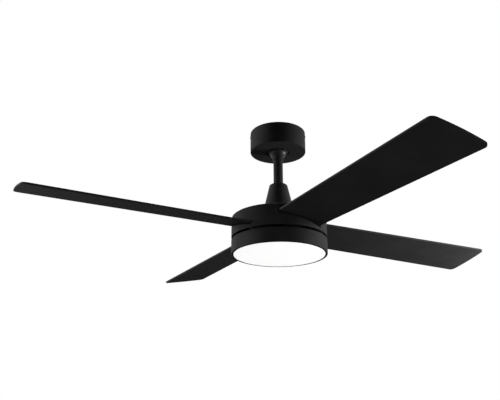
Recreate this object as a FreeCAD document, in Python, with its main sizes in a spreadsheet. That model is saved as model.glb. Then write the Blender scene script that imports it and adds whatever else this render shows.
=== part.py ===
import FreeCAD, Part
import os
import re
import Sketcher

# Ceiling fan with light: four pitched blades on a drum-shaped outer-rotor motor, a flat round
# lamp below it, and a ball-hung downrod above. Millimetres, +Z up. The origin is the middle of
# the hanging bracket's top face, on the ceiling, and the fan hangs below it on the Z axis.

doc = FreeCAD.newDocument("ceiling_fan")

SIZES = {
    # the whole fan
    "fan_drop": 345.0,  # ceiling to the underside of the lamp
    "sweep_radius": 660.0,  # fan axis to the blade tips
    # canopy
    "canopy_radius": 74.6,
    "canopy_height": 58.5,
    "canopy_wall": 1.2,
    "canopy_top_round": 4.0,
    "canopy_rim": 4.4,  # the rolled top rim's reach inward
    "canopy_bottom_round": 1.5,
    "canopy_hole_radius": 30.5,
    "canopy_screw_drop": 12.0,
    "canopy_screw_radius": 2.0,
    "canopy_screw_head": 3.4,
    "canopy_screw_head_height": 0.8,
    "canopy_screw_length": 8.0,
    "screw_fit": 0.05,  # shanks in their holes
    "screw_clearance": 0.3,  # holes that a screw only passes
    # hanging bracket
    "bracket_gap": 1.1,  # end tabs to the canopy's rolled rim
    "bracket_width": 40.0,
    "bracket_end_width": 20.0,
    "bracket_thickness": 2.5,
    "bracket_taper": 18.0,  # length of each narrowing end
    "end_tab_height": 20.0,
    "ceiling_slot_spacing": 88.0,
    "ceiling_slot_radius": 2.75,
    "ceiling_slot_length": 22.0,
    "cable_hole_radius": 10.0,
    "leg_gap": 1.0,  # legs to the widest part of the ball
    "leg_width": 30.0,
    "leg_overlap": 1.0,  # legs into the cradle's wall
    "leg_window_radius": 5.0,
    "shelf_reach": 7.0,
    "shelf_thickness": 2.0,
    "cradle_wall": 3.0,
    "cradle_rise": 6.0,
    "cradle_drop": 9.5,
    "cradle_lip": 4.0,  # the seat's reach in under the ball
    "cradle_mouth": 29.0,  # the way in for the downrod
    "cradle_mouth_depth": 6.0,  # its inner end, in front of the axis
    "seat_gap": 0.3,
    # hanger ball
    "ball_radius": 25.0,
    "ball_drop": 51.5,  # ceiling to the ball's centre
    "ball_flat": 12.0,  # the ball's centre to its flat top
    "neck_radius": 15.0,
    "neck_drop": 30.3,
    "key_width": 4.4,
    "key_depth": 3.6,
    "key_height": 6.0,
    "key_gap": 0.4,
    "key_room": 2.2,  # behind the key, so that the ball can tilt
    "key_root": 1.5,  # the key into the cradle's wall
    "keyway_drop": 14.0,
    "ball_pin_radius": 3.0,
    "ball_pin_length": 40.0,
    "grub_screw_radius": 2.5,
    "grub_screw_drop": 3.0,
    "grub_screw_length": 8.0,
    "grub_screw_fit": 0.02,
    # downrod
    "rod_radius": 12.7,
    "rod_wall": 2.0,
    "rod_rise": 18.5,  # above the ball's centre
    "rod_fit": 0.1,
    "rod_foot_gap": 0.5,
    "pin_fit": 0.05,
    # receiver and mains terminals in the canopy
    "receiver_length": 96.0,
    "receiver_width": 42.0,
    "receiver_height": 18.0,
    "receiver_drop": 28.0,
    "receiver_round": 3.0,
    "receiver_lid_inset": 3.0,
    "receiver_lid_height": 1.0,
    "terminal_length": 26.0,
    "terminal_height": 15.0,
    "terminal_depth": 13.0,
    "terminal_drop": 22.0,
    "terminal_bore_radius": 2.6,
    # cover over the motor's yoke
    "cover_gap": 1.5,
    "cover_radius": 45.0,
    "cover_shoulder_radius": 24.0,
    "cover_height": 89.6,
    "cover_shoulder_height": 7.0,
    "cover_wall": 1.5,
    "cover_round": 2.5,
    "grommet_thickness": 2.5,
    "grommet_height": 4.5,
    "grommet_lip": 0.6,
    # yoke
    "yoke_wall": 6.8,
    "yoke_boss_radius": 15.0,
    "yoke_rise": 64.0,  # above the housing's top
    "yoke_floor_rise": 13.7,
    "yoke_floor": 4.0,
    "yoke_boss_drop": 6.3,
    "yoke_boss_taper": 4.0,
    "clevis_radius": 3.2,
    "clevis_rise": 34.0,
    "clevis_length": 50.0,
    "clevis_head": 5.2,
    "clevis_head_height": 2.5,
    "clevis_head_gap": 0.1,
    "clip_wire_radius": 0.9,
    "clip_offset": 3.0,  # from the yoke's side
    "clip_fit": 0.1,
    "clip_width": 7.0,
    "clip_height": 18.0,
    "yoke_screw_radius": 3.0,
    "yoke_screw_rise": 54.0,
    "yoke_screw_length": 12.95,
    "yoke_screw_head": 4.6,
    "yoke_screw_head_height": 3.0,
    "yoke_nut_radius": 5.2,
    "yoke_nut_height": 3.0,
    # turning housing
    "housing_radius": 124.0,
    "housing_height": 55.8,
    "housing_wall": 1.2,
    "housing_top_round": 4.5,
    "housing_hole_radius": 24.0,
    "housing_boss_pitch": 34.0,
    "housing_boss_radius": 6.0,
    "housing_screw_radius": 2.0,
    "housing_screw_head": 3.6,
    "housing_screw_head_height": 0.9,
    "housing_screw_length": 9.0,
    "housing_hole_depth": 12.0,
    "slot_side_gap": 1.6,
    "slot_top_gap": 1.2,
    "slot_bottom_gap": 4.4,
    # blades
    "blade_count": 4.0,
    "blade_start": 30.35,  # degrees about the fan axis
    "blade_pitch": 11.56,
    "blade_drop": 30.7,  # housing top to the blades' middle plane at the axis
    "blade_thickness": 5.0,
    "blade_root": 78.0,
    "blade_root_front": 54.7,
    "blade_root_back": 62.5,
    "blade_tip_front": 65.1,
    "blade_tip_back": 74.2,
    "blade_corner_round": 13.0,
    "blade_root_round": 4.0,
    "blade_edge_round": 0.8,
    "blade_screw_radius": 2.5,
    "blade_screw_margin": 6.0,  # inner screws to the paddle's start
    "blade_screw_end": 8.0,  # outer screw to the paddle's end
    "blade_screw_spread": 24.0,
    "blade_screw_head": 4.5,
    "blade_screw_head_height": 3.0,
    # blade brackets
    "foot_start": 46.0,
    "foot_end": 75.0,
    "foot_width": 40.0,
    "foot_thickness": 4.0,
    "foot_screw_pitch": 57.0,
    "foot_screw_spread": 26.0,
    "foot_screw_radius": 2.5,
    "foot_screw_head": 4.5,
    "foot_screw_head_height": 3.5,
    "paddle_start": 86.0,
    "paddle_margin": 9.0,  # paddle's end to the housing's side
    "paddle_width": 64.0,
    "paddle_thickness": 4.0,
    # motor shaft and bearings
    "shaft_radius": 8.5,
    "shaft_bore": 4.5,
    "shaft_middle_radius": 10.0,
    "shaft_thread_radius": 6.0,
    "shaft_thread_length": 13.6,
    "bearing_radius": 20.0,
    "bearing_height": 12.0,
    "bearing_pitch": 14.25,
    "race_gap": 2.3,
    "ball_bearing_radius": 3.3,
    "ball_bearing_play": 0.05,
    "ball_bearing_count": 7.0,
    # rotor
    "rotor_drop": 16.3,  # housing top to the rotor's top face
    "rotor_radius": 74.0,
    "rotor_height": 36.0,
    "rotor_plate": 4.0,
    "rotor_ring_wall": 4.0,
    "hub_wall": 4.5,
    "hub_lip": 5.0,
    "hub_rise": 6.0,
    "hub_foot": 3.5,
    "hub_rise_lip": 2.0,  # metal above the upper bearing
    "hub_foot_lip": 1.0,  # metal below the lower bearing
    "lug_pitch": 77.0,
    "lug_radius": 5.5,
    "rotor_screw_radius": 2.0,
    "rotor_screw_head": 3.5,
    "rotor_screw_head_height": 2.5,
    "vent_inner_radius": 44.0,
    "vent_outer_radius": 60.0,
    "vent_width": 9.0,
    # stator and magnets
    "pole_count": 12.0,
    "stator_height": 14.0,
    "stator_offset": 0.75,  # below the middle of the two bearings
    "stator_back_radius": 26.0,
    "tooth_width": 7.0,
    "shoe_depth": 4.0,
    "slot_mouth": 2.4,
    "air_gap": 0.8,
    "magnet_thickness": 3.7,
    "magnet_count": 14.0,
    "magnet_gap": 1.2,
    "magnet_height": 20.0,
    "coil_thickness": 3.4,
    "coil_clearance": 0.3,
    "coil_start": 31.0,
    "coil_end": 58.0,
    # lamp
    "groove_gap": 6.2,
    "lamp_height": 37.3,
    "lamp_wall": 1.2,
    "lamp_hole_radius": 16.0,
    "lamp_edge_round": 1.0,
    "bezel_width": 6.0,  # the lamp housing's rim round the diffuser
    "opal_gap": 0.3,
    "opal_thickness": 2.0,
    "opal_skirt_inset": 2.2,
    "opal_skirt_wall": 2.0,
    "opal_skirt_height": 8.0,
    "tab_reach": 5.0,
    "tab_thickness": 2.5,
    "tab_angle": 18.0,
    "tab_count": 3.0,
    "tab_gap": 0.2,
    "lug_height": 6.5,
    "lug_inset": 0.3,
    "lug_angle": 20.0,
    "light_plate_radius": 45.0,
    "light_plate_thickness": 2.2,
    "light_screw_pitch": 34.0,
    "light_screw_radius": 2.0,
    "light_screw_head": 3.6,
    "light_screw_head_height": 2.2,
    "light_screw_count": 3.0,
    "washer_radius": 10.0,
    "washer_thickness": 1.2,
    "nut_radius": 9.8,
    "nut_height": 6.0,
    "led_board_margin": 20.0,  # the board's edge to the lamp housing's side
    "led_board_thickness": 1.6,
    "standoff_height": 13.6,
    "standoff_radius": 3.5,
    "standoff_pitch": 70.0,
    "standoff_count": 3.0,
    "led_screw_radius": 1.5,
    "led_screw_head": 2.8,
    "led_screw_head_height": 1.8,
    "led_screw_length": 6.0,
    "led_length": 3.5,
    "led_width": 2.8,
    "led_height": 0.8,
    "led_inner_pitch": 48.0,
    "led_inner_count": 12.0,
    "led_outer_pitch": 88.0,
    "led_outer_count": 24.0,
    "driver_length": 62.0,
    "driver_width": 34.0,
    "driver_height": 11.0,
    "driver_offset": 52.0,
    "driver_round": 2.0,
}

# Levels and radii that follow from the driving sizes, each built on the ones before it.
PLACES = {
    "ceiling": "0",
    "canopy_bottom": "-canopy_height",
    "canopy_inner": "canopy_radius - canopy_wall",
    "canopy_rim_foot": "-canopy_wall",
    "lamp_bottom": "-fan_drop",
    "lamp_top": "lamp_bottom + lamp_height",
    "housing_bottom": "lamp_top + groove_gap",
    "housing_top": "housing_bottom + housing_height",
    "housing_inner": "housing_radius - housing_wall",
    "housing_roof": "housing_top - housing_wall",
    "cover_bottom": "housing_top + cover_gap",
    "cover_shoulder": "cover_bottom + cover_height",
    "cover_top": "cover_shoulder + cover_shoulder_height",
    "ball_level": "-ball_drop",
    "rod_top": "ball_level + rod_rise",
    "yoke_floor_top": "housing_top + yoke_floor_rise",
    "yoke_top": "housing_top + yoke_rise",
    "yoke_bottom": "housing_top - yoke_boss_drop",
    "yoke_radius": "rod_radius + rod_fit + yoke_wall",
    "shaft_top": "yoke_floor_top - yoke_floor",
    "clevis_level": "housing_top + clevis_rise",
    "yoke_screw_level": "housing_top + yoke_screw_rise",
    "rotor_top": "housing_top - rotor_drop",
    "rotor_bottom": "rotor_top - rotor_height",
    "hub_radius": "bearing_radius + hub_wall",
    "hub_bore": "bearing_radius - hub_lip",
    "upper_bearing_top": "rotor_top + hub_rise - hub_rise_lip",
    "upper_bearing_bottom": "upper_bearing_top - bearing_height",
    "lower_bearing_bottom": "rotor_bottom - hub_foot + hub_foot_lip",
    "lower_bearing_top": "lower_bearing_bottom + bearing_height",
    "stator_level": "(upper_bearing_bottom + lower_bearing_top) / 2 - stator_offset",
    "magnet_radius": "rotor_radius - rotor_ring_wall",
    "magnet_bore": "magnet_radius - magnet_thickness",
    "stator_radius": "magnet_bore - air_gap",
    "lamp_radius": "housing_radius",
    "opal_lip": "lamp_radius - bezel_width",
    "opal_radius": "opal_lip - opal_gap",
    "opal_skirt_radius": "opal_radius - opal_skirt_inset",
    "led_board_radius": "lamp_radius - led_board_margin",
    "light_plate_top": "lamp_top + light_plate_thickness",
    "lamp_roof": "lamp_top - lamp_wall",
    "led_board_top": "lamp_roof - standoff_height",
    "led_board_bottom": "led_board_top - led_board_thickness",
    "blade_level": "housing_top - blade_drop",
    "slot_level": "-(slot_bottom_gap - slot_top_gap) / 2",
    "slot_height": "blade_thickness + slot_bottom_gap + slot_top_gap",
    "tab_bottom": "lamp_bottom + lug_height + lamp_wall + tab_gap",
    "blade_screw_middle": "(blade_root_front - blade_root_back) / 2",
    "paddle_end": "housing_radius - paddle_margin",
    "blade_screw_in": "paddle_start + blade_screw_margin",
    "blade_screw_out": "paddle_end - blade_screw_end",
    "end_tab_face": "canopy_radius - canopy_rim - bracket_gap",
    "leg_face": "ball_radius + leg_gap",
    "shelf_level": "-receiver_drop",
}

sheets = {}
homes = {}


def led(text, home=None):
    """The same expression, with each size's name led by the sheet that holds it."""

    def lead(match):
        word = match.group(0)
        if word not in homes or homes[word] == home:
            return word
        return homes[word] + "." + word

    return re.sub(r"[a-z][a-z_]*", lead, text)


def fill_sheet(name, rows):
    sheets[name] = doc.addObject("Spreadsheet::Sheet", name)
    for row, (alias, content) in enumerate(rows.items(), 1):
        cell = f"A{row}"
        if isinstance(content, str):
            sheets[name].set(cell, "=" + led(content, name))
        else:
            sheets[name].set(cell, str(content))
        sheets[name].setAlias(cell, alias)
        homes[alias] = name
    doc.recompute()


fill_sheet("sizes", SIZES)
fill_sheet("places", PLACES)


def value(alias):
    return float(sheets[homes[alias]].get(alias))


def placed(x, y, z, turn, tilt):
    """A placement that tilts about X, then turns about Z, then moves."""
    move = f"create(<<vector>>; {x}; {y}; {z})"
    rotation = f"create(<<rotation>>; {turn}; 0; {tilt})"
    return led(f"create(<<placement>>; {move}; {rotation})")


class Piece:
    """One sub-part: a body whose sketches, features and placement read the two sheets."""

    def __init__(self, node, turn="0", tilt="0", level="0"):
        self.node = node
        self.body = doc.addObject("PartDesign::Body", node)
        self.body.Label = node
        self.body.setExpression("Placement", placed("0", "0", level, turn, tilt))
        parts.append(self.body)

    def origin(self, role):
        return next(item for item in self.body.Origin.OriginFeatures if item.Role == role)

    def sketch(self, plane, loops, lift="0", across="0", up="0", turn="0", tilt="0"):
        """Closed loops on a plane of the body: lists of corners, or (x, y, radius) for a circle."""
        sketch = self.body.newObject("Sketcher::SketchObject", self.node + "_sketch")
        sketch.AttachmentSupport = [(self.origin(plane), "")]
        sketch.MapMode = "FlatFace"
        sketch.setExpression("AttachmentOffset", placed(across, up, lift, turn, tilt))
        for loop in loops:
            if isinstance(loop, tuple):
                self.circle(sketch, loop)
            else:
                self.polygon(sketch, loop)
        return sketch

    def hold(self, sketch, kind, first, expression, start):
        index = sketch.addConstraint(Sketcher.Constraint(kind, *first, start))
        sketch.setExpression(f"Constraints[{index}]", led(expression))

    def circle(self, sketch, loop):
        ring = Part.Circle(FreeCAD.Vector(20, 10, 0), FreeCAD.Vector(0, 0, 1), 5)
        index = sketch.addGeometry(ring, False)
        self.hold(sketch, "DistanceX", (-1, 1, index, 3), loop[0], 20)
        self.hold(sketch, "DistanceY", (-1, 1, index, 3), loop[1], 10)
        self.hold(sketch, "Radius", (index,), loop[2], 5)

    def polygon(self, sketch, corners):
        """Straight sides, drawn on a circle and then pulled to their corners by the expressions."""
        start = sketch.GeometryCount
        count = len(corners)
        circle = Part.Circle(FreeCAD.Vector(20, 10, 0), FreeCAD.Vector(0, 0, 1), 5)
        ring = circle.discretize(Number=count + 1)
        for side in range(count):
            sketch.addGeometry(Part.LineSegment(ring[side], ring[side + 1]), False)
        for side in range(count):
            joint = (start + side, 2, start + (side + 1) % count, 1)
            sketch.addConstraint(Sketcher.Constraint("Coincident", *joint))
        for side, (x, y) in enumerate(corners):
            self.hold(sketch, "DistanceX", (-1, 1, start + side, 1), x, ring[side].x)
            self.hold(sketch, "DistanceY", (-1, 1, start + side, 1), y, ring[side].y)

    def feature(self, kind, **settings):
        item = self.body.newObject("PartDesign::" + kind, self.node + "_" + kind.lower())
        for name, setting in settings.items():
            if isinstance(setting, str) and name in ("Length", "Angle", "Radius", "Size", "Occurrences"):
                item.setExpression(name, led(setting))
            else:
                setattr(item, name, setting)
        self.body.Tip = item
        doc.recompute()
        return item

    def revolve(self, corners, angle="360", kind="Revolution", turn="0"):
        """Turn a profile in the XZ plane, given as (radius, level) corners, about the Z axis."""
        sketch = self.sketch("XZ_Plane", [corners])
        axis = (sketch, ["V_Axis"])
        partial = angle != "360"
        return self.feature(kind, Profile=sketch, ReferenceAxis=axis, Angle=angle, Midplane=partial)

    def groove(self, corners):
        before = self.body.Shape.Volume
        item = self.revolve(corners, kind="Groove")
        self.check_cut(before)
        return item

    def pad(self, plane, loops, length, both=False, back=False, **place):
        sketch = self.sketch(plane, loops, **place)
        side = "Symmetric" if both else "One side"
        return self.feature("Pad", Profile=sketch, Length=length, SideType=side, Reversed=back)

    def pocket(self, plane, loops, length=None, both=False, back=False, **place):
        before = self.body.Shape.Volume
        sketch = self.sketch(plane, loops, **place)
        side = "Symmetric" if both else "One side"
        settings = {"Profile": sketch, "SideType": side, "Reversed": back}
        if length:
            item = self.feature("Pocket", Length=length, **settings)
        else:
            item = self.feature("Pocket", Type="ThroughAll", **settings)
        self.check_cut(before)
        return item

    def sphere(self, kind, radius, level, across="0"):
        """A ball added to or cut from the body, its centre on the XZ plane."""
        ball = self.feature(kind, AttachmentSupport=[(self.origin("XY_Plane"), "")], MapMode="FlatFace")
        ball.setExpression("Radius", led(radius))
        ball.setExpression("AttachmentOffset", placed(across, "0", level, "0", "0"))
        doc.recompute()
        return ball

    def check_cut(self, before):
        if self.body.Shape.Volume >= before:
            raise RuntimeError(self.node + ": a cut removes nothing")

    def polar(self, features, count, axis="Z_Axis"):
        """Repeat features evenly about an axis of the body."""
        settings = {"Axis": (self.origin(axis), [""]), "Angle": 360, "Occurrences": count}
        return self.feature("PolarPattern", Originals=features, **settings)

    def mirror(self, features, plane="YZ_Plane"):
        return self.feature("Mirrored", Originals=features, MirrorPlane=(self.origin(plane), [""]))

    def round_edges(self, size, wanted):
        """Round every edge of the body so far that passes the test."""
        base = self.body.Tip
        names = [f"Edge{n}" for n, edge in enumerate(base.Shape.Edges, 1) if wanted(edge)]
        if not names:
            raise RuntimeError(self.node + ": no edge to round")
        return self.feature("Fillet", Base=(base, names), Radius=size)

    def round_rims(self, size, *rims):
        """Round the circular edges at the given (radius, level) pairs."""
        wanted = [(value(radius), value(level)) for radius, level in rims]

        def on_rim(edge):
            curve = edge.Curve
            if not isinstance(curve, Part.Circle):
                return False
            found = (curve.Radius, curve.Center.z)
            return any(max(abs(found[0] - r), abs(found[1] - z)) < 0.01 for r, z in wanted)

        return self.round_edges(size, on_rim)


parts = []


def upright(edge):
    """An edge along Z."""
    if len(edge.Vertexes) < 2:
        return False
    run = edge.Vertexes[1].Point - edge.Vertexes[0].Point
    return abs(run.x) + abs(run.y) < 0.001 and abs(run.z) > 0.1


def rectangle(left, right, low, high):
    return [(left, low), (right, low), (right, high), (left, high)]


def half_width(text):
    """The two signed halves of a width that straddles an axis."""
    return f"-({text}) / 2", f"({text}) / 2"


def block(left, right, width):
    """A rectangle along X that straddles the X axis."""
    return rectangle(left, right, *half_width(width))


def screws(piece, plane, spots, kind, length, back=False, **place):
    """Plain round-headed screws of one kind: the shanks one way, the heads the other way."""
    shank = [(x, y, f"{kind}_radius - screw_fit") for x, y in spots]
    head = [(x, y, f"{kind}_head") for x, y in spots]
    shanks = piece.pad(plane, shank, length, back=not back, **place)
    heads = piece.pad(plane, head, f"{kind}_head_height", back=back, **place)
    return [shanks, heads]


# ---------------------------------------------------------------- on the ceiling


def hanging_bracket():
    """Folded steel strap: slotted top plate, two legs, and a cradle whose round seat holds the ball."""
    piece = Piece("hanging_bracket")
    half = "bracket_width / 2"
    narrow = "bracket_end_width / 2"
    waist = "end_tab_face - bracket_taper"
    outline = [
        ("end_tab_face", "-" + narrow),
        ("end_tab_face", narrow),
        (waist, half),
        ("-(" + waist + ")", half),
        ("-end_tab_face", narrow),
        ("-end_tab_face", "-" + narrow),
        ("-(" + waist + ")", "-" + half),
        (waist, "-" + half),
    ]
    piece.pad("XY_Plane", [outline], "bracket_thickness", back=True)
    slot_left, slot_right = half_width("ceiling_slot_length - 2 * ceiling_slot_radius")
    middle = "ceiling_slot_spacing / 2"
    slot_width = half_width("2 * ceiling_slot_radius")
    bar = rectangle(f"{middle} + {slot_left}", f"{middle} + {slot_right}", *slot_width)
    slot = [piece.pocket("XY_Plane", [bar], "bracket_thickness + 1")]
    for end in (slot_left, slot_right):
        round_end = (f"{middle} + {end}", "0", "ceiling_slot_radius")
        slot.append(piece.pocket("XY_Plane", [round_end], "bracket_thickness + 1"))
    piece.mirror(slot)
    piece.pocket("XY_Plane", [("0", "0", "cable_hole_radius")], "bracket_thickness + 1")
    tab = piece.pad(
        "XY_Plane",
        [block("end_tab_face - bracket_thickness", "end_tab_face", "bracket_end_width")],
        "end_tab_height",
        back=True,
    )
    leg = piece.pad(
        "XY_Plane",
        [block("leg_face", "leg_face + bracket_thickness", "leg_width")],
        "ball_drop + leg_overlap",
        back=True,
    )
    shelf = piece.pad(
        "XY_Plane",
        [block("leg_face - shelf_reach", "leg_face + bracket_thickness / 2", "leg_width / 2")],
        "shelf_thickness",
        back=True,
        lift="shelf_level",
    )
    piece.mirror([tab, leg, shelf])
    seat = "ball_radius + seat_gap"
    outer = seat + " + cradle_wall"
    cradle = [
        ("ball_radius - cradle_lip", "ball_level - cradle_drop"),
        (f"sqrt(({outer})^2 - cradle_drop^2)", "ball_level - cradle_drop"),
        (outer, "ball_level - cradle_drop / 5"),
        (outer, "ball_level + cradle_rise"),
        ("ball_radius - cradle_lip", "ball_level + cradle_rise"),
    ]
    piece.revolve(cradle)
    bore = [
        ("0", "ball_level"),
        (seat, "ball_level"),
        (seat, "ball_level + cradle_rise + 1"),
        ("0", "ball_level + cradle_rise + 1"),
    ]
    piece.groove(bore)
    piece.sphere("SubtractiveSphere", seat, "ball_level")
    mouth = rectangle(*half_width("cradle_mouth"), "-1.5 * ball_radius", "-cradle_mouth_depth")
    low = "ball_level - cradle_drop - 1"
    piece.pocket("XY_Plane", [mouth], "cradle_drop + cradle_rise + 2", back=True, lift=low)
    key = rectangle(*half_width("key_width"), "ball_radius - key_depth", "ball_radius + key_root")
    piece.pad("XY_Plane", [key], "key_height", both=True, lift="ball_level")
    drop = "-canopy_screw_drop"
    piece.pocket("YZ_Plane", [("0", drop, "canopy_screw_radius")], "4 * canopy_radius", both=True)
    window = ("0", "-receiver_drop / 2", "leg_window_radius")
    piece.pocket("YZ_Plane", [window], "2 * leg_face + 4 * bracket_thickness", both=True)


def canopy():
    """Spun steel cup over the bracket, with a round hole for the ball and a rolled top rim."""
    piece = Piece("canopy")
    piece.revolve([
        ("canopy_hole_radius", "canopy_bottom"),
        ("canopy_radius", "canopy_bottom"),
        ("canopy_radius", "ceiling"),
        ("canopy_radius - canopy_rim", "ceiling"),
        ("canopy_radius - canopy_rim", "canopy_rim_foot"),
        ("canopy_inner", "canopy_rim_foot"),
        ("canopy_inner", "canopy_bottom + canopy_wall"),
        ("canopy_hole_radius", "canopy_bottom + canopy_wall"),
    ])
    piece.round_rims("canopy_top_round", ("canopy_radius", "ceiling"))
    piece.round_rims("canopy_top_round - canopy_wall", ("canopy_inner", "canopy_rim_foot"))
    piece.round_rims("canopy_bottom_round", ("canopy_radius", "canopy_bottom"))
    hole = ("0", "-canopy_screw_drop", "canopy_screw_radius + screw_clearance")
    piece.pocket("YZ_Plane", [hole], "4 * canopy_radius", both=True)


def canopy_screws():
    """Two low-headed screws through the canopy into the bracket's end tabs."""
    piece = Piece("canopy_screws")
    spot = [("0", "-canopy_screw_drop")]
    lift = "canopy_radius + 2 * screw_fit"
    piece.mirror(screws(piece, "YZ_Plane", spot, "canopy_screw", "canopy_screw_length", lift=lift))


def receiver():
    """Control box of the fan and light, resting on the bracket's two shelves."""
    piece = Piece("receiver")
    shape = rectangle(*half_width("receiver_width"), *half_width("receiver_length"))
    piece.pad("XY_Plane", [shape], "receiver_height", lift="shelf_level")
    piece.round_edges("receiver_round", upright)
    lid_width = half_width("receiver_width - 2 * receiver_lid_inset")
    lid_length = half_width("receiver_length - 2 * receiver_lid_inset")
    lid = rectangle(*lid_width, *lid_length)
    piece.pad("XY_Plane", [lid], "receiver_lid_height", lift="shelf_level + receiver_height")


def terminal_block():
    """Mains terminal block on the outside of one leg."""
    piece = Piece("terminal_block")
    face = "leg_face + bracket_thickness"
    low = "-(terminal_drop + terminal_height)"
    shape = rectangle(*half_width("terminal_length"), low, "-terminal_drop")
    piece.pad("YZ_Plane", [shape], "terminal_depth", lift=face)
    spots = [f"{place} * terminal_length / 3" for place in (-1, 0, 1)]
    level = "-(terminal_drop + terminal_height / 2)"
    bores = [(spot, level, "terminal_bore_radius") for spot in spots]
    piece.pocket("YZ_Plane", bores, "terminal_depth / 2", lift=face + " + terminal_depth")


# ---------------------------------------------------------------- on the downrod


def hanger_ball():
    """Cast ball with a neck, bored for the downrod, with a keyway and a groove for the cross pin."""
    piece = Piece("hanger_ball")
    piece.sphere("AdditiveSphere", "ball_radius", "ball_level")
    above = rectangle(*half_width("3 * ball_radius"), *half_width("3 * ball_radius"))
    piece.pocket("XY_Plane", [above], "ball_radius", back=True, lift="ball_level + ball_flat")
    floor = "ball_radius - key_depth - key_room"
    foot = "ball_level - keyway_drop"
    keyway = rectangle(floor, "1.1 * ball_radius", foot, "ball_level + ball_radius")
    piece.pocket("YZ_Plane", [keyway], "key_width + 2 * key_gap", both=True)
    piece.pad("XY_Plane", [("0", "0", "neck_radius")], "neck_drop", back=True, lift="ball_level")
    bore = [("0", "0", "rod_radius + rod_fit")]
    piece.pocket("XY_Plane", bore, "4 * ball_radius", both=True, lift="ball_level")
    pin = [("0", "ball_level + ball_flat", "ball_pin_radius + pin_fit")]
    piece.pocket("YZ_Plane", pin, "4 * ball_radius", both=True)
    grub = [("0", "ball_level - grub_screw_drop", "grub_screw_radius")]
    piece.pocket("YZ_Plane", grub, "2 * ball_radius", back=False)


def ball_pin():
    """Cross pin through the downrod's top, lying in the ball's groove."""
    piece = Piece("ball_pin")
    pin = [("0", "ball_level + ball_flat", "ball_pin_radius")]
    piece.pad("YZ_Plane", pin, "ball_pin_length", both=True)


def grub_screw():
    """Grub screw that locks the ball on the downrod."""
    piece = Piece("ball_grub_screw")
    spot = [("0", "ball_level - grub_screw_drop", "grub_screw_radius - grub_screw_fit")]
    piece.pad("YZ_Plane", spot, "grub_screw_length", back=True, lift="-rod_radius")


def downrod():
    """Steel tube from the ball to the yoke, cross-drilled at both ends."""
    piece = Piece("downrod")
    foot = "yoke_floor_top + rod_foot_gap"
    piece.revolve(rectangle("rod_radius - rod_wall", "rod_radius", foot, "rod_top"))
    pin = [("0", "ball_level + ball_flat", "ball_pin_radius + pin_fit")]
    piece.pocket("YZ_Plane", pin, "4 * rod_radius", both=True)
    clevis = [("0", "clevis_level", "clevis_radius + pin_fit")]
    piece.pocket("XZ_Plane", clevis, "4 * rod_radius", both=True)


def yoke_cover():
    """Moulded cone over the yoke. A rubber grommet in its top grips the downrod and holds it up."""
    piece = Piece("yoke_cover")
    slope = "(cover_radius - cover_shoulder_radius) / cover_height"
    collar = "rod_radius + grommet_thickness"
    fall = "grommet_thickness / (cover_shoulder_radius - rod_radius) * cover_shoulder_height"
    piece.revolve([
        ("cover_radius", "cover_bottom"),
        ("cover_shoulder_radius", "cover_shoulder"),
        (collar, "cover_top - " + fall),
        (collar, "cover_top - " + fall + " - 1.5 * cover_wall"),
        ("cover_shoulder_radius - cover_wall", "cover_shoulder - cover_wall"),
        ("cover_radius - cover_wall - " + slope, "cover_bottom"),
    ])
    piece.round_rims("cover_round", ("cover_shoulder_radius", "cover_shoulder"))


def cover_grommet():
    """Rubber grommet between the cover's top and the downrod."""
    piece = Piece("cover_grommet")
    collar = "rod_radius + grommet_thickness"
    fall = "grommet_thickness / (cover_shoulder_radius - rod_radius) * cover_shoulder_height"
    piece.revolve([
        ("rod_radius", "cover_top - grommet_height"),
        (collar, "cover_top - grommet_height"),
        (collar, "cover_top - " + fall),
        ("rod_radius + grommet_lip", "cover_top"),
        ("rod_radius", "cover_top"),
    ])


def motor_yoke():
    """Cast yoke on the motor shaft: a socket for the downrod, cross-drilled for the clevis pin."""
    piece = Piece("motor_yoke")
    piece.revolve([
        ("shaft_radius", "yoke_bottom"),
        ("yoke_boss_radius", "yoke_bottom"),
        ("yoke_boss_radius", "shaft_top - yoke_boss_taper"),
        ("yoke_radius", "shaft_top"),
        ("yoke_radius", "yoke_top"),
        ("rod_radius + rod_fit", "yoke_top"),
        ("rod_radius + rod_fit", "yoke_floor_top"),
        ("shaft_bore", "yoke_floor_top"),
        ("shaft_bore", "shaft_top"),
        ("shaft_radius", "shaft_top"),
    ])
    clevis = ("0", "clevis_level", "clevis_radius + pin_fit")
    piece.pocket("XZ_Plane", [clevis], "4 * yoke_radius", both=True)
    screw = ("0", "yoke_screw_level", "yoke_screw_radius")
    piece.pocket("YZ_Plane", [screw], "4 * yoke_radius", both=True)


def clevis_pin():
    """Headed pin through the yoke and the downrod, cross-drilled for its clip."""
    piece = Piece("clevis_pin")
    spot = [("0", "clevis_level", "clevis_radius")]
    piece.pad("XZ_Plane", spot, "clevis_length", lift="-clevis_length / 2")
    head = [("0", "clevis_level", "clevis_head")]
    face = "-yoke_radius - clevis_head_gap"
    piece.pad("XZ_Plane", head, "clevis_head_height", back=True, lift=face)
    hole = [("0", "yoke_radius + clip_offset", "clip_wire_radius + clip_fit")]
    piece.pocket("XY_Plane", hole, "4 * clevis_radius", both=True, lift="clevis_level")


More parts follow.
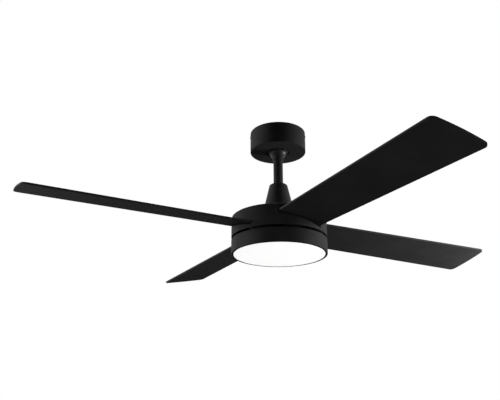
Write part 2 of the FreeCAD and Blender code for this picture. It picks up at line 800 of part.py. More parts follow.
def clevis_clip():
    """Spring-wire clip: one straight leg through the pin, the other bent back beside it."""
    inner = value("yoke_radius") + value("clip_offset")
    outer = inner + value("clip_width")
    middle = value("clevis_level")
    top = middle + value("clip_height") / 2
    foot = middle - value("clip_height") / 2
    bend = FreeCAD.Vector(0, (inner + outer) / 2, top + (outer - inner) / 2)
    route = [
        FreeCAD.Vector(0, inner, foot),
        FreeCAD.Vector(0, inner, top),
        FreeCAD.Vector(0, outer, top),
        FreeCAD.Vector(0, outer, foot + value("clip_width")),
    ]
    path = Part.Wire([
        Part.makeLine(route[0], route[1]),
        Part.Arc(route[1], bend, route[2]).toShape(),
        Part.makeLine(route[2], route[3]),
    ])
    wire = Part.Wire([Part.makeCircle(value("clip_wire_radius"), route[0], FreeCAD.Vector(0, 0, 1))])
    clip = doc.addObject("Part::Feature", "clevis_clip")
    clip.Shape = path.makePipeShell([wire], True, True)
    clip.Label = "clevis_clip"
    parts.append(clip)


def yoke_screws():
    """Two hexagon-headed set screws that clamp the downrod in the yoke, and their lock nuts."""
    piece = Piece("yoke_screws")
    spot = [("0", "yoke_screw_level")]
    lift = "rod_radius + yoke_screw_length + screw_fit"
    piece.mirror(screws(piece, "YZ_Plane", spot, "yoke_screw", "yoke_screw_length", lift=lift))
    piece = Piece("yoke_lock_nuts")
    rings = [("0", "yoke_screw_level", radius) for radius in ("yoke_nut_radius", "yoke_screw_radius")]
    nut = piece.pad("YZ_Plane", rings, "yoke_nut_height", lift="yoke_radius")
    piece.mirror([nut])


# ---------------------------------------------------------------- motor


def motor_shaft():
    """Hollow fixed shaft: the yoke sits on its top, the lamp's plate and nut on its threaded foot."""
    piece = Piece("motor_shaft")
    piece.revolve([
        ("shaft_bore", "light_plate_top - shaft_thread_length"),
        ("shaft_thread_radius", "light_plate_top - shaft_thread_length"),
        ("shaft_thread_radius", "light_plate_top"),
        ("shaft_radius", "light_plate_top"),
        ("shaft_radius", "lower_bearing_top"),
        ("shaft_middle_radius", "lower_bearing_top"),
        ("shaft_middle_radius", "upper_bearing_bottom"),
        ("shaft_radius", "upper_bearing_bottom"),
        ("shaft_radius", "shaft_top"),
        ("shaft_bore", "shaft_top"),
    ])


def ball_bearing(name, low):
    """Deep-groove ball bearing: inner race, outer race and the balls between them."""
    high = low + " + bearing_height"
    middle = low + " + bearing_height / 2"
    groove = ("bearing_pitch", middle, "ball_bearing_radius + ball_bearing_play")

    def race(node, inner, outer):
        piece = Piece(node)
        piece.revolve(rectangle(inner, outer, low, high))
        sketch = piece.sketch("XZ_Plane", [groove])
        piece.feature("Groove", Profile=sketch, ReferenceAxis=(sketch, ["V_Axis"]), Angle="360")

    race(name + "_inner_race", "shaft_radius", "bearing_pitch - race_gap")
    race(name + "_outer_race", "bearing_pitch + race_gap", "bearing_radius")
    balls = Piece(name + "_balls")
    ball = balls.sphere("AdditiveSphere", "ball_bearing_radius", middle, across="bearing_pitch")
    balls.polar([ball], "ball_bearing_count")


def stator_core():
    """Laminated core pressed on the shaft, with twelve shoed teeth."""
    piece = Piece("stator_core")
    low = "stator_level - stator_height / 2"
    piece.revolve(rectangle("shaft_middle_radius", "stator_radius", low, low + " + stator_height"))
    tan = "tan(180 / pole_count)"
    side = " - tooth_width / 2 / cos(180 / pole_count)"
    wide = "stator_radius - shoe_depth"
    shoe = "stator_radius - shoe_depth / 2"
    corners = [
        ("stator_back_radius", f"stator_back_radius * {tan}{side}"),
        (wide, f"({wide}) * {tan}{side}"),
        (shoe, "slot_mouth / 2"),
        ("stator_radius + 1", "slot_mouth / 2"),
    ]
    corners += [(x, f"-({y})") for x, y in reversed(corners)]
    slot = piece.pocket("XY_Plane", [corners], "2 * stator_height", both=True, lift="stator_level")
    piece.polar([slot], "pole_count")


def stator_coils():
    """Twelve copper coils, one wound round each tooth."""
    piece = Piece("stator_coils", turn="180 / pole_count")
    tooth = "tooth_width + 2 * coil_clearance"
    stack = "stator_height + 2 * coil_clearance"
    outer_width = half_width(tooth + " + 2 * coil_thickness")
    outer_height = half_width(stack + " + 2 * coil_thickness")
    outer = rectangle(*outer_width, *outer_height)
    inner = rectangle(*half_width(tooth), *half_width(stack))
    coil = piece.pad(
        "YZ_Plane", [outer, inner], "coil_end - coil_start", lift="coil_start", up="stator_level"
    )
    piece.polar([coil], "pole_count")


def diagonal(pitch, radius):
    """A circle at 45 degrees round the motor's axis."""
    return (f"{pitch} * cos(45)", f"{pitch} * sin(45)", radius)


def foot_spots(radius):
    """The two screw places in a blade bracket's foot."""
    across = "foot_screw_spread / 2"
    return [("foot_screw_pitch", across, radius), ("foot_screw_pitch", "-" + across, radius)]


def rotor_lug(piece, level, back=False):
    lug = [diagonal("lug_pitch", "lug_radius")]
    return piece.pad("XY_Plane", lug, "rotor_plate", lift=level, back=back)


def rotor_top_cover():
    """Cast end cover: bearing hub, four bosses for the housing and four lugs for the long screws."""
    piece = Piece("rotor_top_cover", turn="blade_start")
    hub_top = "rotor_top + hub_rise"
    piece.revolve([
        ("hub_bore", hub_top),
        ("hub_radius", hub_top),
        ("hub_radius", "rotor_top"),
        ("rotor_radius", "rotor_top"),
        ("rotor_radius", "rotor_top - rotor_plate"),
        ("hub_radius", "rotor_top - rotor_plate"),
        ("hub_radius", "upper_bearing_bottom"),
        ("bearing_radius", "upper_bearing_bottom"),
        ("bearing_radius", "upper_bearing_top"),
        ("hub_bore", "upper_bearing_top"),
    ])
    boss = [diagonal("housing_boss_pitch", "housing_boss_radius")]
    boss = piece.pad("XY_Plane", boss, "rotor_drop - housing_wall", lift="rotor_top")
    lug = rotor_lug(piece, "rotor_top", back=True)
    hole = [diagonal("housing_boss_pitch", "housing_screw_radius")]
    hole = piece.pocket("XY_Plane", hole, "housing_hole_depth", lift="housing_top")
    above = "rotor_top + 1"
    lug_hole = [diagonal("lug_pitch", "rotor_screw_radius")]
    lug_hole = piece.pocket("XY_Plane", lug_hole, "2 * rotor_plate", lift=above)
    taps = piece.pocket("XY_Plane", foot_spots("foot_screw_radius"), "2 * rotor_plate", lift=above)
    window = [
        ("vent_inner_radius * cos(45)", "vent_inner_radius * sin(45) - vent_width / 2"),
        ("vent_outer_radius * cos(45)", "vent_outer_radius * sin(45) - vent_width"),
        ("vent_outer_radius * cos(45)", "vent_outer_radius * sin(45)"),
        ("vent_outer_radius * cos(45) - vent_width", "vent_outer_radius * sin(45)"),
        ("vent_inner_radius * cos(45) - vent_width / 2", "vent_inner_radius * sin(45)"),
    ]
    vent = piece.pocket("XY_Plane", [window], "2 * rotor_plate", lift=above)
    piece.polar([boss, lug, hole, lug_hole, taps, vent], "blade_count")


def rotor_bottom_cover():
    """Cast end cover with the lower bearing's hub and four lugs."""
    piece = Piece("rotor_bottom_cover", turn="blade_start")
    high = "rotor_bottom + rotor_plate"
    hub_foot = "rotor_bottom - hub_foot"
    piece.revolve([
        ("hub_bore", hub_foot),
        ("hub_radius", hub_foot),
        ("hub_radius", "rotor_bottom"),
        ("rotor_radius", "rotor_bottom"),
        ("rotor_radius", high),
        ("hub_radius", high),
        ("hub_radius", "lower_bearing_top"),
        ("bearing_radius", "lower_bearing_top"),
        ("bearing_radius", "lower_bearing_bottom"),
        ("hub_bore", "lower_bearing_bottom"),
    ])
    lug = rotor_lug(piece, "rotor_bottom")
    hole = [diagonal("lug_pitch", "rotor_screw_radius")]
    hole = piece.pocket("XY_Plane", hole, "4 * rotor_plate", both=True, lift="rotor_bottom")
    piece.polar([lug, hole], "blade_count")


def rotor_ring():
    """Steel back-iron ring between the two end covers."""
    piece = Piece("rotor_ring")
    low = "rotor_bottom + rotor_plate"
    piece.revolve(rectangle("magnet_radius", "rotor_radius", low, "rotor_top - rotor_plate"))


def rotor_magnets():
    """Magnet segments bonded inside the ring."""
    piece = Piece("rotor_magnets")
    low = "stator_level - magnet_height / 2"
    piece.revolve(rectangle("magnet_bore", "magnet_radius", low, low + " + magnet_height"))
    slit = block("magnet_bore - magnet_gap", "magnet_radius + magnet_gap", "magnet_gap")
    gap = piece.pocket("XY_Plane", [slit], "2 * magnet_height", both=True, lift="stator_level")
    piece.polar([gap], "magnet_count")


def rotor_screws():
    """Four long screws that pull the two end covers together outside the ring."""
    piece = Piece("rotor_screws", turn="blade_start")
    spot = [diagonal("lug_pitch", "")[:2]]
    place = {"back": True, "lift": "rotor_bottom"}
    parts = screws(piece, "XY_Plane", spot, "rotor_screw", "rotor_height", **place)
    piece.polar(parts, "blade_count")


def motor_housing():
    """Spun steel drum that turns with the blades. Each blade enters by a slot cut at its pitch."""
    piece = Piece("motor_housing", turn="blade_start")
    piece.revolve([
        ("housing_hole_radius", "housing_top"),
        ("housing_radius", "housing_top"),
        ("housing_radius", "housing_bottom"),
        ("housing_inner", "housing_bottom"),
        ("housing_inner", "housing_roof"),
        ("housing_hole_radius", "housing_roof"),
    ])
    piece.round_rims("housing_top_round", ("housing_radius", "housing_top"))
    piece.round_rims("housing_top_round - housing_wall", ("housing_inner", "housing_roof"))
    reach = "(housing_radius - blade_root) / (sweep_radius - blade_root)"
    front = f"blade_root_front + (blade_tip_front - blade_root_front) * {reach} + slot_side_gap"
    rear = f"-(blade_root_back + (blade_tip_back - blade_root_back) * {reach} + slot_side_gap)"
    opening = rectangle(rear, front, "slot_level - slot_height / 2", "slot_level + slot_height / 2")
    pitched = {"up": "blade_level", "turn": "-blade_pitch"}
    slot = piece.pocket("YZ_Plane", [opening], "housing_radius", back=True, lift="blade_root", **pitched)
    hole = [diagonal("housing_boss_pitch", "housing_screw_radius + screw_clearance")]
    hole = piece.pocket("XY_Plane", hole, "2 * housing_wall", lift="housing_top")
    piece.polar([slot, hole], "blade_count")


def housing_screws():
    """Four low-headed screws that hold the housing on the rotor's bosses, hidden by the yoke cover."""
    piece = Piece("housing_screws", turn="blade_start")
    spot = [diagonal("housing_boss_pitch", "")[:2]]
    parts = screws(piece, "XY_Plane", spot, "housing_screw", "housing_screw_length", lift="housing_top")
    piece.polar(parts, "blade_count")


# ---------------------------------------------------------------- blades


def blade(number):
    """Flat blade that widens to a tip on the sweep circle, pitched about its own length."""
    turn = f"blade_start + {number - 1} * 360 / blade_count"
    piece = Piece(f"blade_{number}", turn=turn, tilt="-blade_pitch", level="blade_level")
    far = "1.04 * sweep_radius"
    grow = f"({far} - blade_root) / (sweep_radius - blade_root)"
    front = f"blade_root_front + (blade_tip_front - blade_root_front) * {grow}"
    rear = f"-(blade_root_back + (blade_tip_back - blade_root_back) * {grow})"
    outline = [
        ("blade_root", "-blade_root_back"),
        (far, rear),
        (far, front),
        ("blade_root", "blade_root_front"),
    ]
    piece.pad("XY_Plane", [outline], "blade_thickness", both=True)
    sweep = [("0", "0", "sweep_radius"), ("0", "0", "1.3 * sweep_radius")]
    piece.pocket("XY_Plane", sweep, "2 * blade_thickness", both=True)
    tip = value("sweep_radius") * 0.9
    root = value("blade_root") * 1.01
    piece.round_edges("blade_corner_round", lambda edge: upright(edge) and edge.Vertexes[0].X > tip)
    piece.round_edges("blade_root_round", lambda edge: upright(edge) and edge.Vertexes[0].X < root)
    half = value("blade_thickness") / 2

    def on_top_or_bottom(edge):
        return all(abs(abs(corner.Z) - half) < 0.001 for corner in edge.Vertexes)

    piece.round_edges("blade_edge_round", on_top_or_bottom)
    holes = blade_screw_holes("blade_screw_radius + screw_clearance")
    piece.pocket("XY_Plane", holes, "4 * blade_thickness", both=True)


def blade_screw_spots():
    """Three screws to a blade: two side by side near its root and one further out."""
    inner, outer = half_width("blade_screw_spread")
    return [
        ("blade_screw_in", "blade_screw_middle + " + inner),
        ("blade_screw_in", "blade_screw_middle + " + outer),
        ("blade_screw_out", "blade_screw_middle"),
    ]


def blade_screw_holes(radius):
    return [(x, y, radius) for x, y in blade_screw_spots()]


def blade_bracket(number):
    """Cast arm that twists from a flat foot on the rotor to a pitched paddle on top of the blade."""
    piece = Piece(f"blade_bracket_{number}", turn=f"blade_start + {number - 1} * 360 / blade_count")
    foot = rectangle(*half_width("foot_width"), "rotor_top", "rotor_top + foot_thickness")
    piece.pad("YZ_Plane", [foot], "foot_end - foot_start", lift="foot_start")
    left, right = half_width("paddle_width")
    low = "blade_thickness / 2"
    high = "blade_thickness / 2 + paddle_thickness"
    middle = "blade_screw_middle + "
    paddle = rectangle(middle + left, middle + right, low, high)
    pitched = {"up": "blade_level", "turn": "-blade_pitch"}
    piece.pad("YZ_Plane", [paddle], "paddle_end - paddle_start", lift="paddle_start", **pitched)
    near = piece.sketch("YZ_Plane", [foot], lift="foot_end")
    far = piece.sketch("YZ_Plane", [paddle], lift="paddle_start", **pitched)
    piece.feature("AdditiveLoft", Profile=near, Sections=[far], Ruled=True)
    feet = foot_spots("foot_screw_radius + screw_clearance")
    piece.pocket("XY_Plane", feet, "3 * foot_thickness", both=True, lift="rotor_top")
    slanted = {"lift": "blade_level", "tilt": "-blade_pitch"}
    holes = blade_screw_holes("blade_screw_radius")
    depth = "4 * (blade_thickness + paddle_thickness)"
    piece.pocket("XY_Plane", holes, depth, both=True, **slanted)


def blade_screws():
    """Twelve pan-headed screws, three from below through each blade into its bracket."""
    piece = Piece("blade_screws", turn="blade_start")
    place = {
        "tilt": "-blade_pitch",
        "lift": "blade_level - blade_thickness / 2 * cos(blade_pitch)",
        "up": "-blade_thickness / 2 * sin(blade_pitch)",
    }
    length = "blade_thickness + paddle_thickness"
    parts = screws(piece, "XY_Plane", blade_screw_spots(), "blade_screw", length, back=True, **place)
    piece.polar(parts, "blade_count")


def bracket_screws():
    """Eight screws that hold the bracket feet on the rotor."""
    piece = Piece("bracket_screws", turn="blade_start")
    spots = [spot[:2] for spot in foot_spots("")]
    lift = "rotor_top + foot_thickness"
    length = "foot_thickness + rotor_plate"
    piece.polar(screws(piece, "XY_Plane", spots, "foot_screw", length, lift=lift), "blade_count")


# ---------------------------------------------------------------- lamp


def light_plate():
    """Steel disc clamped on the shaft's foot, which carries the lamp."""
    piece = Piece("light_plate")
    piece.revolve(rectangle("shaft_thread_radius", "light_plate_radius", "lamp_top", "light_plate_top"))
    hole = [("light_screw_pitch", "0", "light_screw_radius")]
    hole = piece.pocket("XY_Plane", hole, "3 * light_plate_thickness", both=True, lift="lamp_top")
    piece.polar([hole], "light_screw_count")


def shaft_fastening():
    """Washer and nut under the light plate."""
    piece = Piece("shaft_washer")
    low = "lamp_top - washer_thickness"
    piece.revolve(rectangle("shaft_thread_radius", "washer_radius", low, "lamp_top"))
    piece = Piece("shaft_nut")
    hexagon = [
        (f"nut_radius * cos({60 * corner})", f"nut_radius * sin({60 * corner})") for corner in range(6)
    ]
    bore = ("0", "0", "shaft_thread_radius")
    piece.pad("XY_Plane", [hexagon, bore], "nut_height", back=True, lift=low)


def lamp_housing():
    """Pressed steel pan below the turning housing, with bayonet lugs for the diffuser."""
    piece = Piece("lamp_housing")
    inner = "lamp_radius - lamp_wall"
    piece.revolve([
        ("lamp_hole_radius", "lamp_top"),
        ("lamp_radius", "lamp_top"),
        ("lamp_radius", "lamp_bottom"),
        ("opal_lip", "lamp_bottom"),
        ("opal_lip", "lamp_bottom + lamp_wall"),
        (inner, "lamp_bottom + lamp_wall"),
        (inner, "lamp_roof"),
        ("lamp_hole_radius", "lamp_roof"),
    ])
    piece.round_rims("lamp_edge_round", ("lamp_radius", "lamp_top"), ("lamp_radius", "lamp_bottom"))
    lug_side = "lamp_radius - lamp_wall / 2"
    lug_low = "lamp_bottom + lamp_wall / 2"
    lug_high = "lamp_bottom + lamp_wall + lug_height"
    lug = rectangle("opal_lip + lug_inset", lug_side, lug_low, lug_high)
    lug = piece.revolve(lug, angle="lug_angle")
    piece.polar([lug], "tab_count")
    hole = [("light_screw_pitch", "0", "light_screw_radius + screw_clearance")]
    hole = piece.pocket("XY_Plane", hole, "3 * lamp_wall", both=True, lift="lamp_top")
    board_hole = [("0", "-standoff_pitch", "led_screw_radius + screw_clearance")]
    board_hole = piece.pocket("XY_Plane", board_hole, "3 * lamp_wall", both=True, lift="lamp_top")
    piece.polar([hole, board_hole], "light_screw_count")


def lamp_screws():
    """Three screws from below through the lamp housing into the light plate."""
    piece = Piece("lamp_screws")
    spot = [("light_screw_pitch", "0")]
    length = "lamp_wall + light_plate_thickness"
    parts = screws(piece, "XY_Plane", spot, "light_screw", length, back=True, lift="lamp_roof")
    piece.polar(parts, "light_screw_count")


def led_board():
    """Aluminium board with two rings of light-emitting diodes, on three hexagonal standoffs."""
    piece = Piece("led_board")
    piece.revolve(rectangle("washer_radius", "led_board_radius", "led_board_bottom", "led_board_top"))
    hole = [("0", "-standoff_pitch", "led_screw_radius + screw_clearance")]
    hole = piece.pocket("XY_Plane", hole, "4 * led_board_thickness", both=True, lift="led_board_top")
    piece.polar([hole], "standoff_count")
    piece = Piece("led_standoffs")
    post = [("0", "-standoff_pitch", "standoff_radius")]
    post = piece.pad("XY_Plane", post, "standoff_height", lift="led_board_top")
    hole = [("0", "-standoff_pitch", "led_screw_radius")]
    hole = piece.pocket("XY_Plane", hole, "led_screw_length", back=True, lift="led_board_top")
    piece.polar([post, hole], "standoff_count")
    piece = Piece("led_screws")
    spot = [("0", "-standoff_pitch")]
    place = {"back": True, "lift": "led_board_bottom"}
    parts = screws(piece, "XY_Plane", spot, "led_screw", "led_screw_length", **place)
    piece.polar(parts, "standoff_count")


def leds(node, pitch, count):
    """One ring of diodes under the board."""
    piece = Piece(node)
    left = f"{pitch} - led_length / 2"
    right = f"{pitch} + led_length / 2"
    chip = [block(left, right, "led_width")]
    chip = piece.pad("XY_Plane", chip, "led_height", back=True, lift="led_board_bottom")
    piece.polar([chip], count)


def led_driver():
    """Driver of the lamp, fixed under the lamp housing's roof."""
    piece = Piece("led_driver")
    low = "driver_offset - driver_width / 2"
    shape = rectangle(*half_width("driver_length"), low, low + " + driver_width")
    piece.pad("XY_Plane", [shape], "driver_height", back=True, lift="lamp_roof")
    piece.round_edges("driver_round", upright)


def diffuser():
    """Flat opal disc with a skirt whose three tabs hang on the lamp housing's lugs."""
    piece = Piece("diffuser")
    skirt_in = "opal_skirt_radius - opal_skirt_wall"
    top = "lamp_bottom + opal_thickness"
    skirt_top = top + " + opal_skirt_height"
    piece.revolve([
        ("0", "lamp_bottom"),
        ("opal_radius", "lamp_bottom"),
        ("opal_radius", top),
        ("opal_skirt_radius", top),
        ("opal_skirt_radius", skirt_top),
        (skirt_in, skirt_top),
        (skirt_in, top),
        ("0", top),
    ])
    root = "opal_skirt_radius - opal_skirt_wall / 2"
    tip = "opal_skirt_radius + tab_reach"
    tab = rectangle(root, tip, "tab_bottom", "tab_bottom + tab_thickness")
    tab = piece.revolve(tab, angle="tab_angle")
    piece.polar([tab], "tab_count")


hanging_bracket()
canopy()
canopy_screws()
receiver()
terminal_block()
hanger_ball()
ball_pin()
grub_screw()
downrod()
yoke_cover()
cover_grommet()
motor_yoke()
clevis_pin()
clevis_clip()
yoke_screws()
motor_shaft()
ball_bearing("upper_bearing", "upper_bearing_bottom")
ball_bearing("lower_bearing", "lower_bearing_bottom")
stator_core()
stator_coils()
rotor_top_cover()
rotor_bottom_cover()
rotor_ring()
rotor_magnets()
rotor_screws()
motor_housing()
housing_screws()
for number in range(1, 5):
    blade(number)
    blade_bracket(number)
blade_screws()
bracket_screws()
light_plate()
shaft_fastening()
lamp_housing()
lamp_screws()
led_board()
leds("led_inner_ring", "led_inner_pitch", "led_inner_count")
leds("led_outer_ring", "led_outer_pitch", "led_outer_count")
led_driver()
diffuser()

doc.recompute()
faults = [item.Name for item in doc.Objects if "Invalid" in item.State or "Error" in item.State]
if faults:
    raise RuntimeError("failed objects: " + ", ".join(faults))
os.makedirs("parts", exist_ok=True)
for part in parts:
    if part.Shape.isNull() or not part.Shape.isValid():
        raise RuntimeError("bad shape: " + part.Label)
for part in parts:
    part.Shape.exportStep(f"parts/{part.Label}.step")
print(len(parts), "nodes", sum(len(part.Shape.Solids) for part in parts), "solids")
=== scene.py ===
# Ceiling fan with light: how it looks. Metres, in the part's own frame: the origin is on the
# ceiling, +Z is up, and the fan hangs below on the Z axis.

import math

import bmesh
import bpy
from mathutils import Matrix, Vector


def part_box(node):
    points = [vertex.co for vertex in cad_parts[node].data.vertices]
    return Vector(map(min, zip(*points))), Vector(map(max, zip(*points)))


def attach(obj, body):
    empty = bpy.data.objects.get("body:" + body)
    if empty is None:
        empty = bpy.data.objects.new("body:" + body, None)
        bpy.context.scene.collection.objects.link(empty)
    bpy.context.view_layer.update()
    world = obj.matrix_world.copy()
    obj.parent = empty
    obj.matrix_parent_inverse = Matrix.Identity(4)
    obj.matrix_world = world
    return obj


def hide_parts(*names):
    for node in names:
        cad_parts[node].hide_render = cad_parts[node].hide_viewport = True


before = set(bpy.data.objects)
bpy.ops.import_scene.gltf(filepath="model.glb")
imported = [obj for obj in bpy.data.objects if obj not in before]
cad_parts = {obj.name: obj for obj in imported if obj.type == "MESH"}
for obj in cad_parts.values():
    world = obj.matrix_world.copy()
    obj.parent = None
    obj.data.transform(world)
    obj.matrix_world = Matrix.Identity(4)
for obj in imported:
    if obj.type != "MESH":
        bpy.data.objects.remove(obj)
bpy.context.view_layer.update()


# ---------------------------------------------------------------- studio
# The fan hangs in a white studio between softboxes at its sides, so that its black paint falls
# off to dark in front. Weaker ones stand near the blades' tips, and one overhead lights the tops.
# The pale floor lies a room's height below and takes the fan's shadow.

camera_place = (0.0, -1.6609, -0.805)
camera_pitch = 20.2
camera_turn = 2.61
camera_roll = 0.11
lens_length = 48.09
softbox_shape = 0.83  # height over width
softboxes = {
    "left_high": (171, 1.9, 0.1, 0.6, 86.0),
    "right_high": (9, 1.15, -0.05, 0.5, 9.9),
    "right_near": (9, 0.95, -0.38, 0.35, 13.1),
    "right_front": (-25, 1.15, -0.45, 0.5, 3.7),
    "right_low": (-60, 1.3, -0.9, 0.35, 3.5),
    "left_front": (205, 0.95, -0.45, 0.35, 2.5),
    "overhead": (0, 0, 2.0, 0.3, 5.2),
}  # bearing in degrees; distance, level and width; power in watts
overhead_spread = 60
studio_fill = 0.0  # the backdrop throws no light of its own
floor_drop = 3.9
floor_width = 400.0
floor_grey = (0.8, 0.8, 0.8)
floor_glow = 0.85  # how pale the camera and mirrors see it

camera_data = bpy.data.cameras.new("camera")
camera_data.lens = lens_length
camera = bpy.data.objects.new("camera", camera_data)
bpy.context.scene.collection.objects.link(camera)
camera.location = camera_place
lift = Matrix.Rotation(math.radians(90 + camera_pitch), 4, "X")
swing = Matrix.Rotation(math.radians(camera_turn), 4, "Z")
roll = Matrix.Rotation(math.radians(camera_roll), 4, "Z")
camera.rotation_euler = (swing @ lift @ roll).to_euler()
bpy.context.scene.camera = camera
bpy.context.scene.view_settings.view_transform = "Standard"


def softbox(name, bearing, distance, level, width, power):
    """A panel of soft light, turned to the fan's axis, or facing down where it hangs on it."""
    lamp = bpy.data.lights.new(name, "AREA")
    lamp.shape = "RECTANGLE"
    lamp.size = width
    lamp.size_y = width * softbox_shape
    lamp.energy = power
    panel = bpy.data.objects.new(name, lamp)
    bpy.context.scene.collection.objects.link(panel)
    around = Matrix.Rotation(math.radians(bearing), 4, "Z")
    panel.location = around @ Vector((distance, 0, level))
    panel.visible_camera = False
    if distance:
        aim = Vector((0, 0, level)) - panel.location
        panel.rotation_euler = aim.to_track_quat("-Z", "Z").to_euler()
    else:
        lamp.spread = math.radians(overhead_spread)


for name, setting in softboxes.items():
    softbox(name, *setting)
# The strongest one would glare on flat black paint that is seen from low on the other side.
bpy.data.objects["left_high"].visible_glossy = False


def node(tree, kind, **settings):
    """A shader node with its settings, and its sockets' values by name."""
    made = tree.nodes.new("ShaderNode" + kind)
    for name, setting in settings.items():
        if hasattr(made, name):
            setattr(made, name, setting)
        else:
            made.inputs[name.replace("_", " ")].default_value = setting
    return made


def white_where_seen(tree, unseen, white):
    """White where the camera sees it, and the unseen shader for the light that it throws."""
    rays = node(tree, "LightPath")
    mirrored = node(tree, "Math", operation="MAXIMUM")
    tree.links.new(rays.outputs["Is Glossy Ray"], mirrored.inputs[0])
    tree.links.new(rays.outputs["Is Transmission Ray"], mirrored.inputs[1])
    seen = node(tree, "Math", operation="MAXIMUM")
    tree.links.new(rays.outputs["Is Camera Ray"], seen.inputs[0])
    tree.links.new(mirrored.outputs[0], seen.inputs[1])
    mix = node(tree, "MixShader")
    tree.links.new(seen.outputs[0], mix.inputs["Fac"])
    tree.links.new(unseen.outputs[0], mix.inputs[1])
    tree.links.new(white.outputs[0], mix.inputs[2])
    return mix


world = bpy.data.worlds.new("studio")
world.use_nodes = True
bpy.context.scene.world = world
tree = world.node_tree
tree.nodes.clear()
fill = node(tree, "Background", Color=(1, 1, 1, 1), Strength=studio_fill)
backdrop = node(tree, "Background", Color=(1, 1, 1, 1), Strength=1.0)
mix = white_where_seen(tree, fill, backdrop)
end = node(tree, "OutputWorld")
tree.links.new(mix.outputs[0], end.inputs["Surface"])

bpy.ops.mesh.primitive_grid_add(size=floor_width, location=(0, 0, -floor_drop))
floor = bpy.context.object
floor.name = "floor"
floor_paint = bpy.data.materials.new("floor_paint")
floor_paint.use_nodes = True
tree = floor_paint.node_tree
tree.nodes.clear()
matt = node(tree, "BsdfDiffuse", Color=(*floor_grey, 1))
unseen = node(tree, "Emission", Strength=0.0)
pale = node(tree, "Emission", Strength=floor_glow)
mix = white_where_seen(tree, unseen, pale)
both = node(tree, "AddShader")
tree.links.new(matt.outputs[0], both.inputs[0])
tree.links.new(mix.outputs[0], both.inputs[1])
end = node(tree, "OutputMaterial")
tree.links.new(both.outputs[0], end.inputs["Surface"])
floor.data.materials.append(floor_paint)


# ---------------------------------------------------------------- canopy
# A cup spun from steel sheet, with a rolled rim against the ceiling and a round hole in its
# bottom for the hanger ball. It is powder-coated matt black, which leaves a fine pebbled skin.

canopy_low, canopy_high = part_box("canopy")
canopy_radius = canopy_high.x
canopy_wall = 0.0012
canopy_rim = 0.0044
canopy_top_round = 0.004
canopy_bottom_round = 0.0015
canopy_hole_radius = 0.0305
canopy_lip = canopy_radius - canopy_rim
canopy_inside = canopy_radius - canopy_wall
screw_level = -0.012
screw_hole = 0.0023
screw_drill = canopy_radius * 2.2  # through both walls
sheet_edge = 0.0004  # the softened edge of cut sheet metal
crease = math.radians(40)  # corners sharper than this stay sharp
coat_black = (0.0155, 0.0155, 0.016)
coat_worn = (0.0197, 0.0197, 0.0204)


def vary_colour(tree, shader, source, low, high, start=0.35, stop=0.65, socket="Base Color"):
    """Two colours, blended as a value goes from start to stop."""
    mix = node(tree, "ValToRGB")
    mix.color_ramp.elements[0].position = start
    mix.color_ramp.elements[1].position = stop
    mix.color_ramp.elements[0].color = (*low, 1)
    mix.color_ramp.elements[1].color = (*high, 1)
    tree.links.new(source, mix.inputs["Fac"])
    tree.links.new(mix.outputs["Color"], shader.inputs[socket])


def lay(tree, pattern, space="Object"):
    """Lay a pattern by the part's own coordinates, in metres."""
    place = node(tree, "TexCoord")
    tree.links.new(place.outputs[space], pattern.inputs["Vector"])


def noise(tree, size, detail=3.0, stretch=(1, 1, 1)):
    """Soft random patches about that many metres wide."""
    map_to = node(tree, "Mapping")
    map_to.inputs["Scale"].default_value = [1 / (size * way) for way in stretch]
    lay(tree, map_to)
    made = node(tree, "TexNoise", Scale=1.0, Detail=detail, Roughness=0.55)
    tree.links.new(map_to.outputs["Vector"], made.inputs["Vector"])
    return made.outputs["Fac"]


def start_finish(name, metal=0.0, shine=0.5):
    """A new material, its tree and its main shader."""
    finish = bpy.data.materials.new(name)
    finish.use_nodes = True
    tree = finish.node_tree
    shader = tree.nodes["Principled BSDF"]
    shader.inputs["Metallic"].default_value = metal
    shader.inputs["Specular IOR Level"].default_value = shine
    return finish, tree, shader


def vary_gloss(tree, shader, source, low, high):
    """Roughness that drifts between two values."""
    spread = node(tree, "MapRange", From_Min=0.3, From_Max=0.7, To_Min=low, To_Max=high)
    tree.links.new(source, spread.inputs["Value"])
    tree.links.new(spread.outputs["Result"], shader.inputs["Roughness"])


def raise_skin(tree, shader, source, depth, under=None):
    """Bumps that deep, on top of any coarser ones."""
    skin = node(tree, "Bump", Distance=depth, Strength=1.0)
    tree.links.new(source, skin.inputs["Height"])
    if under:
        tree.links.new(under.outputs["Normal"], skin.inputs["Normal"])
    tree.links.new(skin.outputs["Normal"], shader.inputs["Normal"])
    return skin


def powder_coat(name, dark, worn, rough, shine, pebble=0.0009, depth=0.00004):
    """Baked powder paint: a pebbled skin, slightly paler and duller where hands have rubbed it."""
    finish, tree, shader = start_finish(name, shine=shine)
    patches = noise(tree, size=0.045, detail=4.0)
    vary_colour(tree, shader, patches, dark, worn)
    vary_gloss(tree, shader, patches, low=rough - 0.04, high=rough + 0.05)
    swell = raise_skin(tree, shader, noise(tree, size=0.006, detail=1.0), depth=depth * 2)
    raise_skin(tree, shader, noise(tree, pebble, detail=2.0), depth, under=swell)
    return finish


def rounded(corners, steps=6):
    """A section's corners (radius, level, rounding) as points, each corner on its own arc."""
    points = []
    for index, (across, up, rounding) in enumerate(corners):
        here = Vector((across, up))
        if not rounding:
            points.append(here)
            continue
        back = (Vector(corners[index - 1][:2]) - here).normalized()
        ahead = (Vector(corners[(index + 1) % len(corners)][:2]) - here).normalized()
        half = back.angle(ahead) / 2
        centre = here + (back + ahead).normalized() * rounding / math.sin(half)
        start = (here + back * rounding / math.tan(half) - centre).normalized()
        stop = (here + ahead * rounding / math.tan(half) - centre).normalized()
        for step in range(steps + 1):
            points.append(centre + start.slerp(stop, step / steps) * rounding)
    return points


